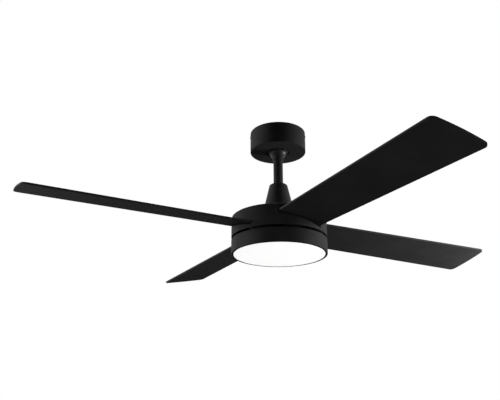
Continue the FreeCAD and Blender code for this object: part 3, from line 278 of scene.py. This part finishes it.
def spun(name, corners, turns=160, steps=6, closed=True):
    """A section turned about the fan's axis, as a spinning lathe makes it."""
    section = rounded(corners, steps)
    shape = bmesh.new()
    rings = []
    for turn in range(turns):
        angle = 2 * math.pi * turn / turns
        across, along = math.cos(angle), math.sin(angle)
        rings.append([shape.verts.new((p.x * across, p.x * along, p.y)) for p in section])
    for turn in range(turns):
        ring, after = rings[turn], rings[(turn + 1) % turns]
        for side in range(len(section) if closed else len(section) - 1):
            further = (side + 1) % len(section)
            shape.faces.new((ring[side], after[side], after[further], ring[further]))
    bmesh.ops.remove_doubles(shape, verts=shape.verts, dist=1e-7)
    return settle(name, shape)


def settle(name, shape):
    """The finished mesh as an object, smooth but for its sharp corners."""
    bmesh.ops.recalc_face_normals(shape, faces=shape.faces)
    mesh = bpy.data.meshes.new(name)
    shape.to_mesh(mesh)
    shape.free()
    mesh.shade_smooth()
    mesh.set_sharp_from_angle(angle=crease)
    made = bpy.data.objects.new(name, mesh)
    bpy.context.scene.collection.objects.link(made)
    even = made.modifiers.new("flat_faces", "WEIGHTED_NORMAL")
    even.keep_sharp = True
    return made


def fit(piece, finish, body, slot, *nodes):
    """Give a piece its finish, the body that it rides on and the solids that it stands for."""
    piece.data.materials.append(finish)
    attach(piece, body)
    if nodes:
        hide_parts(*nodes)
    return piece


black_coat = powder_coat("black_coat", coat_black, coat_worn, rough=0.7, shine=0.012)
canopy = spun("canopy_shell", [
    (canopy_hole_radius, canopy_low.z, sheet_edge),
    (canopy_radius, canopy_low.z, canopy_bottom_round),
    (canopy_radius, canopy_high.z, canopy_top_round),
    (canopy_lip, canopy_high.z, 0),
    (canopy_lip, canopy_high.z - canopy_wall, 0),
    (canopy_inside, canopy_high.z - canopy_wall, canopy_top_round - canopy_wall),
    (canopy_inside, canopy_low.z + canopy_wall, canopy_bottom_round - canopy_wall),
    (canopy_hole_radius, canopy_low.z + canopy_wall, sheet_edge),
], turns=192)


def cut_away(piece, tool):
    """Cut a tool's shape out of a piece, then put the tool away."""
    cut = piece.modifiers.new("cut", "BOOLEAN")
    cut.operation = "DIFFERENCE"
    cut.solver = "EXACT"
    cut.object = tool
    bpy.context.view_layer.update()
    shapes = bpy.context.evaluated_depsgraph_get()
    mesh = bpy.data.meshes.new_from_object(piece.evaluated_get(shapes))
    piece.modifiers.remove(cut)
    mesh.set_sharp_from_angle(angle=crease)
    piece.data = mesh
    bpy.data.objects.remove(tool)


def drill(piece, radius, length, place):
    """Bore a round hole, along the Z axis of the place that is given."""
    bit = bmesh.new()
    bmesh.ops.create_cone(bit, cap_ends=True, segments=32, radius1=radius, radius2=radius,
                          depth=length)
    bmesh.ops.transform(bit, matrix=place, verts=bit.verts)
    cut_away(piece, settle("drill_bit", bit))


across = Matrix.Rotation(math.radians(90), 4, "Y")
drill(canopy, screw_hole, screw_drill, Matrix.Translation((0, 0, screw_level)) @ across)
fit(canopy, black_coat, "ceiling_mount", "black_coated_steel", "canopy")


# ---------------------------------------------------------------- canopy screws
# Two low-headed steel screws, blackened, one on each side. They pass through the canopy's wall
# into the bracket's end tabs and have a cross-shaped recess for the driver.

screw_low, screw_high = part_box("canopy_screws")
screw_head = (screw_high.z - screw_low.z) / 2
screw_face = screw_high.x
screw_height = screw_face - canopy_radius
screw_dome = screw_height * 0.7
screw_shank = 0.00195
screw_length = 0.0085
cross_size = (screw_head * 1.1, 0.0009, 0.0006)  # each bar of the cross: length, width, depth


def headed(name, head, height, shank, length, dome):
    """A screw along +Z: its domed head above the zero level, its pointed shank below."""
    crown = head * 0.55
    brow = head * 0.93
    point = shank * 0.35
    return spun(name, [
        (0, height, 0),
        (crown, height, 0),
        (brow, height - dome * 0.55, 0),
        (head, height - dome, 0),
        (head, 0, 0),
        (shank, 0, 0),
        (shank, -length + shank, 0),
        (point, -length, 0),
        (0, -length, 0),
    ], turns=40, closed=False)


def mill(piece, size, place):
    """Cut a straight slot: a box of that size, about the middle of the place that is given."""
    cutter = bmesh.new()
    bmesh.ops.create_cube(cutter, size=1)
    bmesh.ops.transform(cutter, matrix=place @ Matrix.Diagonal((*size, 1)), verts=cutter.verts)
    cut_away(piece, settle("cutter", cutter))


for number, side in ((1, -1), (2, 1)):
    screw = headed(f"canopy_screw_{number}", screw_head, screw_height, screw_shank, screw_length,
                   screw_dome)
    for turn in (45, 135):
        top = Matrix.Translation((0, 0, screw_height))
        mill(screw, cross_size, top @ Matrix.Rotation(math.radians(turn), 4, "Z"))
    lean = Matrix.Rotation(math.radians(90 * side), 4, "Y")
    place = Matrix.Translation((side * canopy_radius, 0, screw_level))
    screw.data.transform(place @ lean)
    fit(screw, black_coat, "ceiling_mount", "black_coated_steel", "canopy_screws")


# ---------------------------------------------------------------- hanging bracket
# A steel strap, pressed and folded, powder-coated black: the plate that two screws hold to the
# ceiling, its end tabs, its two legs and the round seat that carries the ball.

def dress(finish, *names):
    """Give the part's own solids a finish."""
    for name in names:
        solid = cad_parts[name]
        solid.data.materials.clear()
        solid.data.materials.append(finish)


dress(black_coat, "hanging_bracket")


# ---------------------------------------------------------------- pins, screws and plates
# Small steel fixings. Those deep inside are zinc-plated bright: the ball's pin and grub screw,
# the yoke's pin, clip, screws and nuts, and what holds the lamp and its board. The screws on
# blades, brackets, rotor and drum are plated black. The lamp's plate is coated black as painted
# shade for the groove.

zinc_pale = (0.52, 0.53, 0.55)
zinc_dull = (0.36, 0.37, 0.4)
zinc_black = (0.012, 0.012, 0.013)
zinc_smoke = (0.024, 0.024, 0.027)


def zinc_plate(name, dull, pale):
    """Zinc plating: small crystal patches of two shades, faintly streaked by rolling."""
    finish, tree, shader = start_finish(name, metal=1.0)
    crystals = node(tree, "TexVoronoi", Scale=420.0, Randomness=1.0)
    lay(tree, crystals)
    grey = node(tree, "RGBToBW")
    tree.links.new(crystals.outputs["Color"], grey.inputs["Color"])
    vary_colour(tree, shader, grey.outputs["Val"], dull, pale, start=0.1, stop=0.9)
    vary_gloss(tree, shader, noise(tree, size=0.01), low=0.28, high=0.45)
    streaks = noise(tree, size=0.004, detail=4.0, stretch=(8, 0.15, 0.15))
    raise_skin(tree, shader, streaks, depth=0.00002)
    return finish


zinc = zinc_plate("zinc_plate", zinc_dull, zinc_pale)
black_zinc = zinc_plate("black_zinc", zinc_black, zinc_smoke)
dress(zinc, "ball_pin", "ball_grub_screw", "clevis_pin", "clevis_clip")
dress(zinc, "yoke_screws", "yoke_lock_nuts", "shaft_washer", "shaft_nut")
dress(zinc, "lamp_screws", "led_screws", "led_standoffs")
dress(black_zinc, "blade_screws", "bracket_screws", "housing_screws", "rotor_screws")
# The lamp's plate is coated black as painted shade: it sits behind the groove between drum and
# lamp.
dress(black_coat, "light_plate")


# ---------------------------------------------------------------- receiver and terminals
# The fan's control box lies on the bracket's shelves, and the mains terminals are on one leg.
# Both are moulded plastic, the box black and finely textured, the terminals cream.

plastic_black = (0.0145, 0.0145, 0.0155)
plastic_scuffed = (0.0187, 0.0187, 0.0196)
terminal_cream = (0.72, 0.7, 0.63)
terminal_shade = (0.62, 0.6, 0.54)


def moulded(name, dark, light, rough, grain, depth):
    """Moulded plastic with the fine spark texture of its tool."""
    finish, tree, shader = start_finish(name, shine=0.03)
    patches = noise(tree, size=0.03)
    vary_colour(tree, shader, patches, dark, light)
    vary_gloss(tree, shader, patches, low=rough - 0.05, high=rough + 0.05)
    raise_skin(tree, shader, noise(tree, grain, detail=5.0), depth)
    return finish


black_plastic = moulded("moulded_black", plastic_black, plastic_scuffed,
                        rough=0.5, grain=0.0005, depth=0.00005)
cream_plastic = moulded("moulded_cream", terminal_shade, terminal_cream,
                        rough=0.4, grain=0.001, depth=0.00002)
dress(black_plastic, "receiver", "led_driver")
dress(cream_plastic, "terminal_block")


# ---------------------------------------------------------------- hanger ball
# Cast in zinc alloy and painted black, smoother than the sheet parts, with a groove for its
# cross pin and a keyway. It rests in the bracket's seat and carries the downrod.

paint_black = (0.0142, 0.0142, 0.0147)
paint_pale = (0.0178, 0.0178, 0.0186)
ball_paint = powder_coat("ball_paint", paint_black, paint_pale,
                         rough=0.34, shine=0.08, pebble=0.002, depth=0.00003)
dress(ball_paint, "hanger_ball")


# ---------------------------------------------------------------- downrod
# One-inch steel tube, cut square at both ends and painted satin black. The ball's cross pin
# holds its upper end, and the motor's yoke its lower end, inside the cone.

rod_low, rod_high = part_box("downrod")
rod_radius = rod_high.x
rod_wall = 0.002
satin_black = powder_coat("satin_black", paint_black, paint_pale,
                          rough=0.42, shine=0.03, pebble=0.0016, depth=0.00002)
rod = spun("downrod_tube", [
    (rod_radius - rod_wall, rod_low.z, sheet_edge),
    (rod_radius, rod_low.z, sheet_edge),
    (rod_radius, rod_high.z, sheet_edge),
    (rod_radius - rod_wall, rod_high.z, sheet_edge),
], turns=72)
fit(rod, satin_black, "hanger", "black_coated_steel", "downrod")


# ---------------------------------------------------------------- yoke cover
# A moulded black cone that hides the yoke, with a rounded shoulder, held up by a rubber ring
# that grips the downrod in its mouth.

cover_low, cover_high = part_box("yoke_cover")
grommet_low, grommet_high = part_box("cover_grommet")
cover_radius = cover_high.x
cover_wall = 0.0015
cover_edge = 0.0005
shoulder_radius = 0.024
shoulder_round = 0.0025
shoulder_inside_round = 0.001
shoulder_level = cover_low.z + 0.0896
mouth_radius = grommet_high.x
mouth_edge = 0.0004
mouth_wall = cover_wall * 1.5
cover = spun("yoke_cone", [
    (cover_radius, cover_low.z, cover_edge),
    (shoulder_radius, shoulder_level, shoulder_round),
    (mouth_radius, cover_high.z, mouth_edge),
    (mouth_radius, cover_high.z - mouth_wall, 0),
    (shoulder_radius - cover_wall, shoulder_level - cover_wall, shoulder_inside_round),
    (cover_radius - cover_wall, cover_low.z, cover_edge),
], turns=128, steps=8)
fit(cover, black_plastic, "hanger", "black_plastic", "yoke_cover")

rubber_dark = (0.009, 0.009, 0.009)
rubber_dusty = (0.02, 0.02, 0.02)
rubber_foot_round = 0.0003
rubber_lip_round = 0.0002
rubber_lip = 0.0006
rubber_sink = 0.0001  # how far it lies below the cone's mouth
black_rubber = moulded("soft_rubber", rubber_dark, rubber_dusty,
                       rough=0.75, grain=0.0003, depth=0.00003)
grommet = spun("rubber_ring", [
    (rod_radius, grommet_low.z, 0),
    (mouth_radius, grommet_low.z, rubber_foot_round),
    (mouth_radius, cover_high.z - rubber_sink, rubber_lip_round),
    (rod_radius + rubber_lip, grommet_high.z, rubber_lip_round),
    (rod_radius, grommet_high.z, 0),
], turns=72)
fit(grommet, black_rubber, "hanger", "black_rubber", "cover_grommet")


# ---------------------------------------------------------------- yoke and blade brackets
# Cast aluminium: the yoke that joins the downrod to the motor's shaft, the rotor's two covers
# and the four arms that carry the blades. The yoke and the upper cover are left bare from the
# blasting; the lower cover and the arms are painted black, as painted shade for the groove and
# slots.

cast_pale = (0.56, 0.565, 0.57)
cast_dull = (0.4, 0.405, 0.415)
groove_shade_black = (0.01, 0.01, 0.0103)
groove_shade_grey = (0.016, 0.016, 0.0165)
blade_numbers = (1, 2, 3, 4)


def cast_metal(name):
    """Blasted casting: a fine sandy skin over slow patches of two greys."""
    finish, tree, shader = start_finish(name, metal=1.0)
    patches = noise(tree, size=0.02, detail=4.0)
    vary_colour(tree, shader, patches, cast_dull, cast_pale)
    vary_gloss(tree, shader, patches, low=0.42, high=0.6)
    swell = raise_skin(tree, shader, noise(tree, size=0.005, detail=1.0), depth=0.00008)
    raise_skin(tree, shader, noise(tree, size=0.0006, detail=3.0), depth=0.00005, under=swell)
    return finish


# Black paint as painted shade: the rotor's lower cover, the blade arms and the rotor ring are
# darkened so the groove and slots they show through read dark.
painted_shade_black = powder_coat("painted_shade_black", groove_shade_black, groove_shade_grey,
                            rough=0.55, shine=0.01, pebble=0.0006, depth=0.00005)
dress(cast_metal("blasted_aluminium"), "motor_yoke", "rotor_top_cover")
dress(painted_shade_black, "rotor_bottom_cover", *[f"blade_bracket_{n}" for n in blade_numbers])


# ---------------------------------------------------------------- shaft and bearings
# A hollow shaft of turned steel, threaded at its foot, and two ball bearings of ground steel
# between it and the rotor's covers. The turning and grinding leave fine rings round the axis.

steel_pale = (0.62, 0.62, 0.63)
steel_dark = (0.45, 0.45, 0.465)


def ground_steel(name):
    """Ground steel: close rings round the fan's axis, a film of oil in patches."""
    finish, tree, shader = start_finish(name, metal=1.0)
    film = noise(tree, size=0.012)
    vary_colour(tree, shader, film, steel_dark, steel_pale)
    vary_gloss(tree, shader, film, low=0.16, high=0.28)
    rings = node(tree, "TexWave", bands_direction="Z", Scale=1200.0, Distortion=0.4)
    lay(tree, rings)
    raise_skin(tree, shader, rings.outputs["Fac"], depth=0.00001)
    return finish


dress(ground_steel("ground_steel"), "motor_shaft",
      *[f"{place}_bearing_{piece}" for place in ("upper", "lower")
        for piece in ("inner_race", "outer_race", "balls")])


# ---------------------------------------------------------------- stator and rotor
# The stator is a stack of thin electrical steel sheets with twelve teeth, each wound with
# enamelled copper wire. Round it turns the rotor's rolled steel ring, painted black with its
# covers as painted shade for the groove, and lined with fourteen magnets of pressed and fired
# ferrite.

sheet_blue = (0.2, 0.21, 0.23)
sheet_edge_grey = (0.36, 0.365, 0.375)
sheet_pitch = 0.0005
copper_red = (0.62, 0.24, 0.1)
copper_bright = (0.83, 0.42, 0.2)
wire_pitch = 0.0008
enamel = 0.5
enamel_roughness = 0.1
ferrite_dark = (0.035, 0.035, 0.037)
ferrite_grey = (0.07, 0.07, 0.074)


def stripes(tree, kind, pitch):
    """Even stripes a pitch apart: flat bands up the fan's axis, or rings round it."""
    wave_scale = math.pi / 10 / pitch  # Blender's wave repeats every pi / 10 at a scale of 1
    lines = node(tree, "TexWave", wave_type=kind, Scale=wave_scale, Distortion=0.0)
    lines.bands_direction = "Z"
    lines.rings_direction = "Z"
    lay(tree, lines)
    return lines.outputs["Fac"]


def stacked_sheets(name):
    """The edges of stamped sheets, one dark varnish line between each pair."""
    finish, tree, shader = start_finish(name, metal=1.0)
    edges = stripes(tree, "BANDS", sheet_pitch)
    vary_colour(tree, shader, edges, sheet_blue, sheet_edge_grey, start=0.1, stop=0.5)
    vary_gloss(tree, shader, noise(tree, size=0.008), low=0.35, high=0.5)
    raise_skin(tree, shader, edges, depth=0.00004)
    return finish


def wound_copper(name):
    """Enamelled wire wound in close turns about each tooth."""
    finish, tree, shader = start_finish(name, metal=1.0)
    turns = stripes(tree, "RINGS", wire_pitch)
    vary_colour(tree, shader, turns, copper_red, copper_bright, start=0.2, stop=0.9)
    shader.inputs["Coat Weight"].default_value = enamel
    shader.inputs["Coat Roughness"].default_value = enamel_roughness
    vary_gloss(tree, shader, noise(tree, size=0.006), low=0.25, high=0.4)
    raise_skin(tree, shader, turns, depth=0.0003)
    return finish


def fired_ferrite(name):
    """Pressed and fired ceramic: dark, mottled and faintly grained."""
    finish, tree, shader = start_finish(name)
    mottle = noise(tree, size=0.003, detail=6.0)
    vary_colour(tree, shader, mottle, ferrite_dark, ferrite_grey)
    vary_gloss(tree, shader, mottle, low=0.5, high=0.7)
    raise_skin(tree, shader, noise(tree, size=0.0005, detail=4.0), depth=0.00004)
    return finish


dress(stacked_sheets("stacked_sheets"), "stator_core")
# The rotor ring gets the same black paint, painted shade for the groove it is seen through.
dress(painted_shade_black, "rotor_ring")
dress(wound_copper("wound_copper"), "stator_coils")
dress(fired_ferrite("fired_ferrite"), "rotor_magnets")


# ---------------------------------------------------------------- motor housing
# A drum spun from steel sheet, powder-coated like the canopy. It turns with the rotor, and each
# blade goes in through a slot that is cut at the blade's own pitch.

drum_low, drum_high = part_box("motor_housing")
drum_radius = drum_high.x
drum_wall = 0.0012
drum_top_round = 0.0045
drum_hole_radius = 0.024
housing_screw_pitch = 0.034
housing_screw_hole = 0.0023
sheet_drill = 0.01  # a drill's travel through one sheet
blade_level = drum_high.z - 0.0307
blade_pitch = 11.56
blade_start = 30.35
blade_turn = 90
blade_thickness = 0.005
slot_top = blade_thickness / 2 + 0.0012
slot_bottom = -blade_thickness / 2 - 0.0044
slot_front = 0.05711
slot_back = -0.06505
slot_reach = 0.13  # how far out the middle of the cut is
slot_cut = 0.1  # and how long it is
slot_size = (slot_cut, slot_front - slot_back, slot_top - slot_bottom)
slot_middle = (slot_reach, (slot_front + slot_back) / 2, (slot_top + slot_bottom) / 2)
drum_inside = drum_radius - drum_wall
drum_top_inside = drum_high.z - drum_wall
drum = spun("motor_drum", [
    (drum_hole_radius, drum_high.z, sheet_edge),
    (drum_radius, drum_high.z, drum_top_round),
    (drum_radius, drum_low.z, sheet_edge),
    (drum_inside, drum_low.z, sheet_edge),
    (drum_inside, drum_top_inside, drum_top_round - drum_wall),
    (drum_hole_radius, drum_top_inside, sheet_edge),
], turns=256)


def blade_place(number):
    """Where a blade's own axes lie: along it, across it, and square to its face."""
    turn = Matrix.Rotation(math.radians(blade_start + blade_turn * (number - 1)), 4, "Z")
    tilt = Matrix.Rotation(math.radians(-blade_pitch), 4, "X")
    return Matrix.Translation((0, 0, blade_level)) @ turn @ tilt


for number in blade_numbers:
    mill(drum, slot_size, blade_place(number) @ Matrix.Translation(slot_middle))
    between_blades = blade_start + blade_turn * (number + 0.5)
    turn = Matrix.Rotation(math.radians(between_blades), 4, "Z")
    spot = Matrix.Translation((housing_screw_pitch, 0, drum_high.z))
    drill(drum, housing_screw_hole, sheet_drill, turn @ spot)
fit(drum, black_coat, "rotor", "black_coated_steel", "motor_housing")


# ---------------------------------------------------------------- blades
# Four boards of thin plywood, sprayed matt black, a little wider at the tip than at the root.
# Their long edges are eased by sanding, and the faint grain of the wood lifts the paint.

blade_root = 0.078
blade_sweep = 0.66
root_front = 0.0547
root_back = 0.0625
tip_front = 0.0651
tip_back = 0.0742
tip_round = 0.013
root_round = 0.004
blade_hole = 0.0028
blade_holes = ((0.092, -0.0159), (0.092, 0.0081), (0.107, -0.0039))
blade_drill = 0.02
edge_round = 0.0009
edge_steps = 4
corner_steps = 8
tip_steps = 16
wood_grain = (6, 260, 260)  # long along the blade, close across it
blade_black = (0.0196, 0.0196, 0.0202)
blade_grey = (0.0246, 0.0246, 0.0255)


def blade_edge(side, root_width, tip_width):
    """One long edge and its rounded tip corner, from the root to the end of the corner."""
    root = Vector((blade_root, side * root_width))
    run = (Vector((blade_sweep, side * tip_width)) - root).normalized()
    inward = Vector((run.y, -run.x)) * side
    base = root + inward * tip_round
    along = base.dot(run)
    reach = along * along - base.length_squared + (blade_sweep - tip_round) ** 2
    centre = base + run * (math.sqrt(reach) - along)
    corner = []
    for step in range(corner_steps + 1):
        outward = (-inward).slerp(centre.normalized(), step / corner_steps)
        corner.append(centre + outward * tip_round)
    return [root, *corner]


def blade_outline():
    """The whole edge of a blade: two long sides, an arc at the tip and rounded root corners."""
    front = blade_edge(1, root_front, tip_front)
    back = blade_edge(-1, root_back, tip_back)
    high = math.atan2(front[-1].y, front[-1].x)
    low = math.atan2(back[-1].y, back[-1].x)
    tip = []
    for step in range(1, tip_steps):
        angle = high + (low - high) * step / tip_steps
        tip.append(Vector((math.cos(angle), math.sin(angle))) * blade_sweep)
    points = front + tip + back[::-1]
    ends = (0, len(points) - 1)
    corners = [(*here, root_round if at in ends else 0) for at, here in enumerate(points)]
    return rounded(corners, steps=4)


def drawn_in(outline, depth, least=0.2):
    """The same outline, moved inward by that depth all round, with no corner drawn to a spike."""
    moved = []
    for index, here in enumerate(outline):
        back = (here - outline[index - 1]).normalized()
        ahead = (outline[(index + 1) % len(outline)] - here).normalized()
        left = Vector((back.y, -back.x)) + Vector((ahead.y, -ahead.x))
        moved.append(here + left.normalized() * depth / max(left.length / 2, least))
    return moved


def painted_wood(name):
    """Matt black lacquer over plywood: the grain runs along each blade."""
    finish, tree, shader = start_finish(name, shine=0.001)
    patches = noise(tree, size=0.08, detail=4.0)
    vary_colour(tree, shader, patches, blade_black, blade_grey)
    vary_gloss(tree, shader, patches, low=0.52, high=0.62)
    stretch = node(tree, "Mapping")
    stretch.inputs["Scale"].default_value = wood_grain
    lay(tree, stretch, space="UV")
    grain = node(tree, "TexNoise", Scale=1.0, Detail=4.0, Roughness=0.6)
    tree.links.new(stretch.outputs["Vector"], grain.inputs["Vector"])
    lifted = raise_skin(tree, shader, grain.outputs["Fac"], depth=0.00005)
    raise_skin(tree, shader, noise(tree, size=0.0009, detail=2.0), depth=0.00002, under=lifted)
    return finish


blade_paint = painted_wood("blade_paint")
outline = blade_outline()
rings = []
for step in range(edge_steps + 1):
    angle = math.pi / 2 * step / edge_steps
    depth = edge_round * (1 - math.sin(angle))
    height = -blade_thickness / 2 + edge_round * (1 - math.cos(angle))
    rings.append((drawn_in(outline, depth), height))
rings += [(ring, -height) for ring, height in reversed(rings)]
for number in blade_numbers:
    board = bmesh.new()
    loops = [[board.verts.new((*point, height)) for point in ring] for ring, height in rings]
    count = len(outline)
    for low, high in zip(loops, loops[1:]):
        for side in range(count):
            further = (side + 1) % count
            board.faces.new((low[side], low[further], high[further], high[side]))
    board.faces.new(loops[0][::-1])
    board.faces.new(loops[-1])
    grain = board.loops.layers.uv.new("grain")
    for face in board.faces:
        for corner in face.loops:
            corner[grain].uv = corner.vert.co.xy
    bmesh.ops.transform(board, matrix=blade_place(number), verts=board.verts)
    blade = settle(f"blade_board_{number}", board)
    for spot in blade_holes:
        place = blade_place(number) @ Matrix.Translation((*spot, 0))
        drill(blade, blade_hole, blade_drill, place)
    fit(blade, blade_paint, "rotor", "black_painted_wood", f"blade_{number}")


# ---------------------------------------------------------------- lamp housing
# A shallow pan pressed from steel, powder-coated black. It hangs below the drum and stands
# still. Its rim turns in to a narrow bezel round the diffuser, with three lugs above it.

lamp_low, lamp_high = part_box("lamp_housing")
lamp_radius = lamp_high.x
lamp_wall = 0.0012
lamp_hole_radius = 0.016
lamp_edge_round = 0.001
lamp_bend = 0.0003
bezel_width = 0.006
bezel_radius = lamp_radius - bezel_width
lug_gap = 0.0003
lug_low = lamp_low.z + 0.0006
lug_high = lamp_low.z + 0.0077
lug_angle = 20
rim_thirds = (0, 120, 240)
plate_hole = 0.0023
plate_hole_pitch = 0.034
board_hole = 0.0018
board_hole_pitch = 0.07
lamp_inside = lamp_radius - lamp_wall
pan = spun("lamp_pan", [
    (lamp_hole_radius, lamp_high.z, 0),
    (lamp_radius, lamp_high.z, lamp_edge_round),
    (lamp_radius, lamp_low.z, lamp_edge_round),
    (bezel_radius, lamp_low.z, sheet_edge),
    (bezel_radius, lamp_low.z + lamp_wall, sheet_edge),
    (lamp_inside, lamp_low.z + lamp_wall, lamp_bend),
    (lamp_inside, lamp_high.z - lamp_wall, lamp_bend),
    (lamp_hole_radius, lamp_high.z - lamp_wall, 0),
], turns=256)


def add_block(piece, inner, outer, low, high, middle, spread, steps=8):
    """Add a block that follows the rim, between two radii and two levels."""
    shape = bmesh.new()
    shape.from_mesh(piece.data)
    corners = ((inner, low), (outer, low), (outer, high), (inner, high))
    rings = []
    for step in range(steps + 1):
        angle = math.radians(middle + spread * (step / steps - 0.5))
        across, along = math.cos(angle), math.sin(angle)
        rings.append([shape.verts.new((out * across, out * along, up)) for out, up in corners])
    for near, far in zip(rings, rings[1:]):
        for side in range(4):
            further = (side + 1) % 4
            shape.faces.new((near[side], near[further], far[further], far[side]))
    shape.faces.new(rings[0][::-1])
    shape.faces.new(rings[-1])
    bmesh.ops.recalc_face_normals(shape, faces=shape.faces)
    shape.to_mesh(piece.data)
    shape.free()
    piece.data.shade_smooth()
    piece.data.set_sharp_from_angle(angle=crease)


for middle in rim_thirds:
    turn = Matrix.Rotation(math.radians(middle), 4, "Z")
    plate_spot = Matrix.Translation((plate_hole_pitch, 0, lamp_high.z))
    board_spot = Matrix.Translation((0, -board_hole_pitch, lamp_high.z))
    drill(pan, plate_hole, sheet_drill, turn @ plate_spot)
    drill(pan, board_hole, sheet_drill, turn @ board_spot)
for middle in rim_thirds:
    add_block(pan, bezel_radius + lug_gap, lamp_inside + lamp_wall / 2, lug_low, lug_high,
              middle, lug_angle)
fit(pan, black_coat, "hanger", "black_coated_steel", "lamp_housing")


# ---------------------------------------------------------------- light board
# A round aluminium board, lacquered white, with its copper tracks showing as low ridges, and two
# rings of diodes, each under a drop of yellow phosphor that is lit.

lacquer_white = (0.8, 0.8, 0.79)
lacquer_shade = (0.7, 0.7, 0.69)
track_pitch = 0.006
phosphor_pale = (0.9, 0.78, 0.3)
phosphor_deep = (0.8, 0.62, 0.16)
diode_glow = (1.0, 0.9, 0.6)
diode_strength = 1.0


def board_lacquer(name):
    """White solder lacquer over round copper tracks."""
    finish, tree, shader = start_finish(name, shine=0.3)
    tracks = stripes(tree, "RINGS", track_pitch)
    vary_colour(tree, shader, tracks, lacquer_shade, lacquer_white, start=0.05, stop=0.2)
    vary_gloss(tree, shader, noise(tree, size=0.02), low=0.3, high=0.4)
    raise_skin(tree, shader, tracks, depth=0.00005)
    return finish


def lit_phosphor(name):
    """Silicone with yellow phosphor, clouded and glowing."""
    finish, tree, shader = start_finish(name, shine=0.3)
    clouds = noise(tree, size=0.001)
    vary_colour(tree, shader, clouds, phosphor_deep, phosphor_pale)
    vary_colour(tree, shader, clouds, phosphor_pale, diode_glow, socket="Emission Color")
    shader.inputs["Emission Strength"].default_value = diode_strength
    vary_gloss(tree, shader, clouds, low=0.25, high=0.4)
    return finish


dress(board_lacquer("board_lacquer"), "led_board")
dress(lit_phosphor("lit_phosphor"), "led_inner_ring", "led_outer_ring")


# ---------------------------------------------------------------- diffuser
# A disc of opal acrylic with a low skirt, lit from behind by the diodes. Its face is satin, and
# its skirt has three tabs that turn on to the lamp housing's lugs.

opal_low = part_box("diffuser")[0]
opal_radius = bezel_radius - 0.0003
opal_thickness = 0.002
opal_back = opal_low.z + opal_thickness
opal_edge_round = 0.0006
opal_back_round = 0.0003
opal_cloudy = (0.93, 0.93, 0.925)
opal_clear = (0.97, 0.97, 0.965)
glow_soft = (0.985, 0.985, 0.98)
glow_full = (1.0, 1.0, 1.0)
opal_glow = 0.62
skirt_radius = opal_radius - 0.0022
skirt_wall = 0.002
skirt_inside = skirt_radius - skirt_wall
skirt_edge_round = 0.0004
skirt_root_round = 0.0006
skirt_top = opal_low.z + 0.01
tab_low = opal_low.z + 0.0079
tab_thickness = 0.0025
tab_reach = 0.005
tab_angle = 18


def opal_acrylic(name):
    """Satin opal plastic that glows evenly, with faint clouds in it."""
    finish, tree, shader = start_finish(name, shine=0.4)
    clouds = noise(tree, size=0.05)
    vary_colour(tree, shader, clouds, opal_cloudy, opal_clear)
    vary_colour(tree, shader, clouds, glow_soft, glow_full, socket="Emission Color")
    shader.inputs["Emission Strength"].default_value = opal_glow
    vary_gloss(tree, shader, clouds, low=0.35, high=0.45)
    raise_skin(tree, shader, noise(tree, size=0.0008), depth=0.00001)
    return finish


opal = opal_acrylic("opal_acrylic")
disc = spun("opal_disc", [
    (0, opal_low.z, 0),
    (opal_radius, opal_low.z, opal_edge_round),
    (opal_radius, opal_back, opal_back_round),
    (skirt_radius, opal_back, 0),
    (skirt_radius, skirt_top, skirt_edge_round),
    (skirt_inside, skirt_top, skirt_edge_round),
    (skirt_inside, opal_back, skirt_root_round),
    (0, opal_back, 0),
], turns=192, closed=False)
for middle in rim_thirds:
    add_block(disc, skirt_radius - skirt_wall / 2, skirt_radius + tab_reach, tab_low,
              tab_low + tab_thickness, middle, tab_angle)
fit(disc, opal, "diffuser", "opal_plastic", "diffuser")
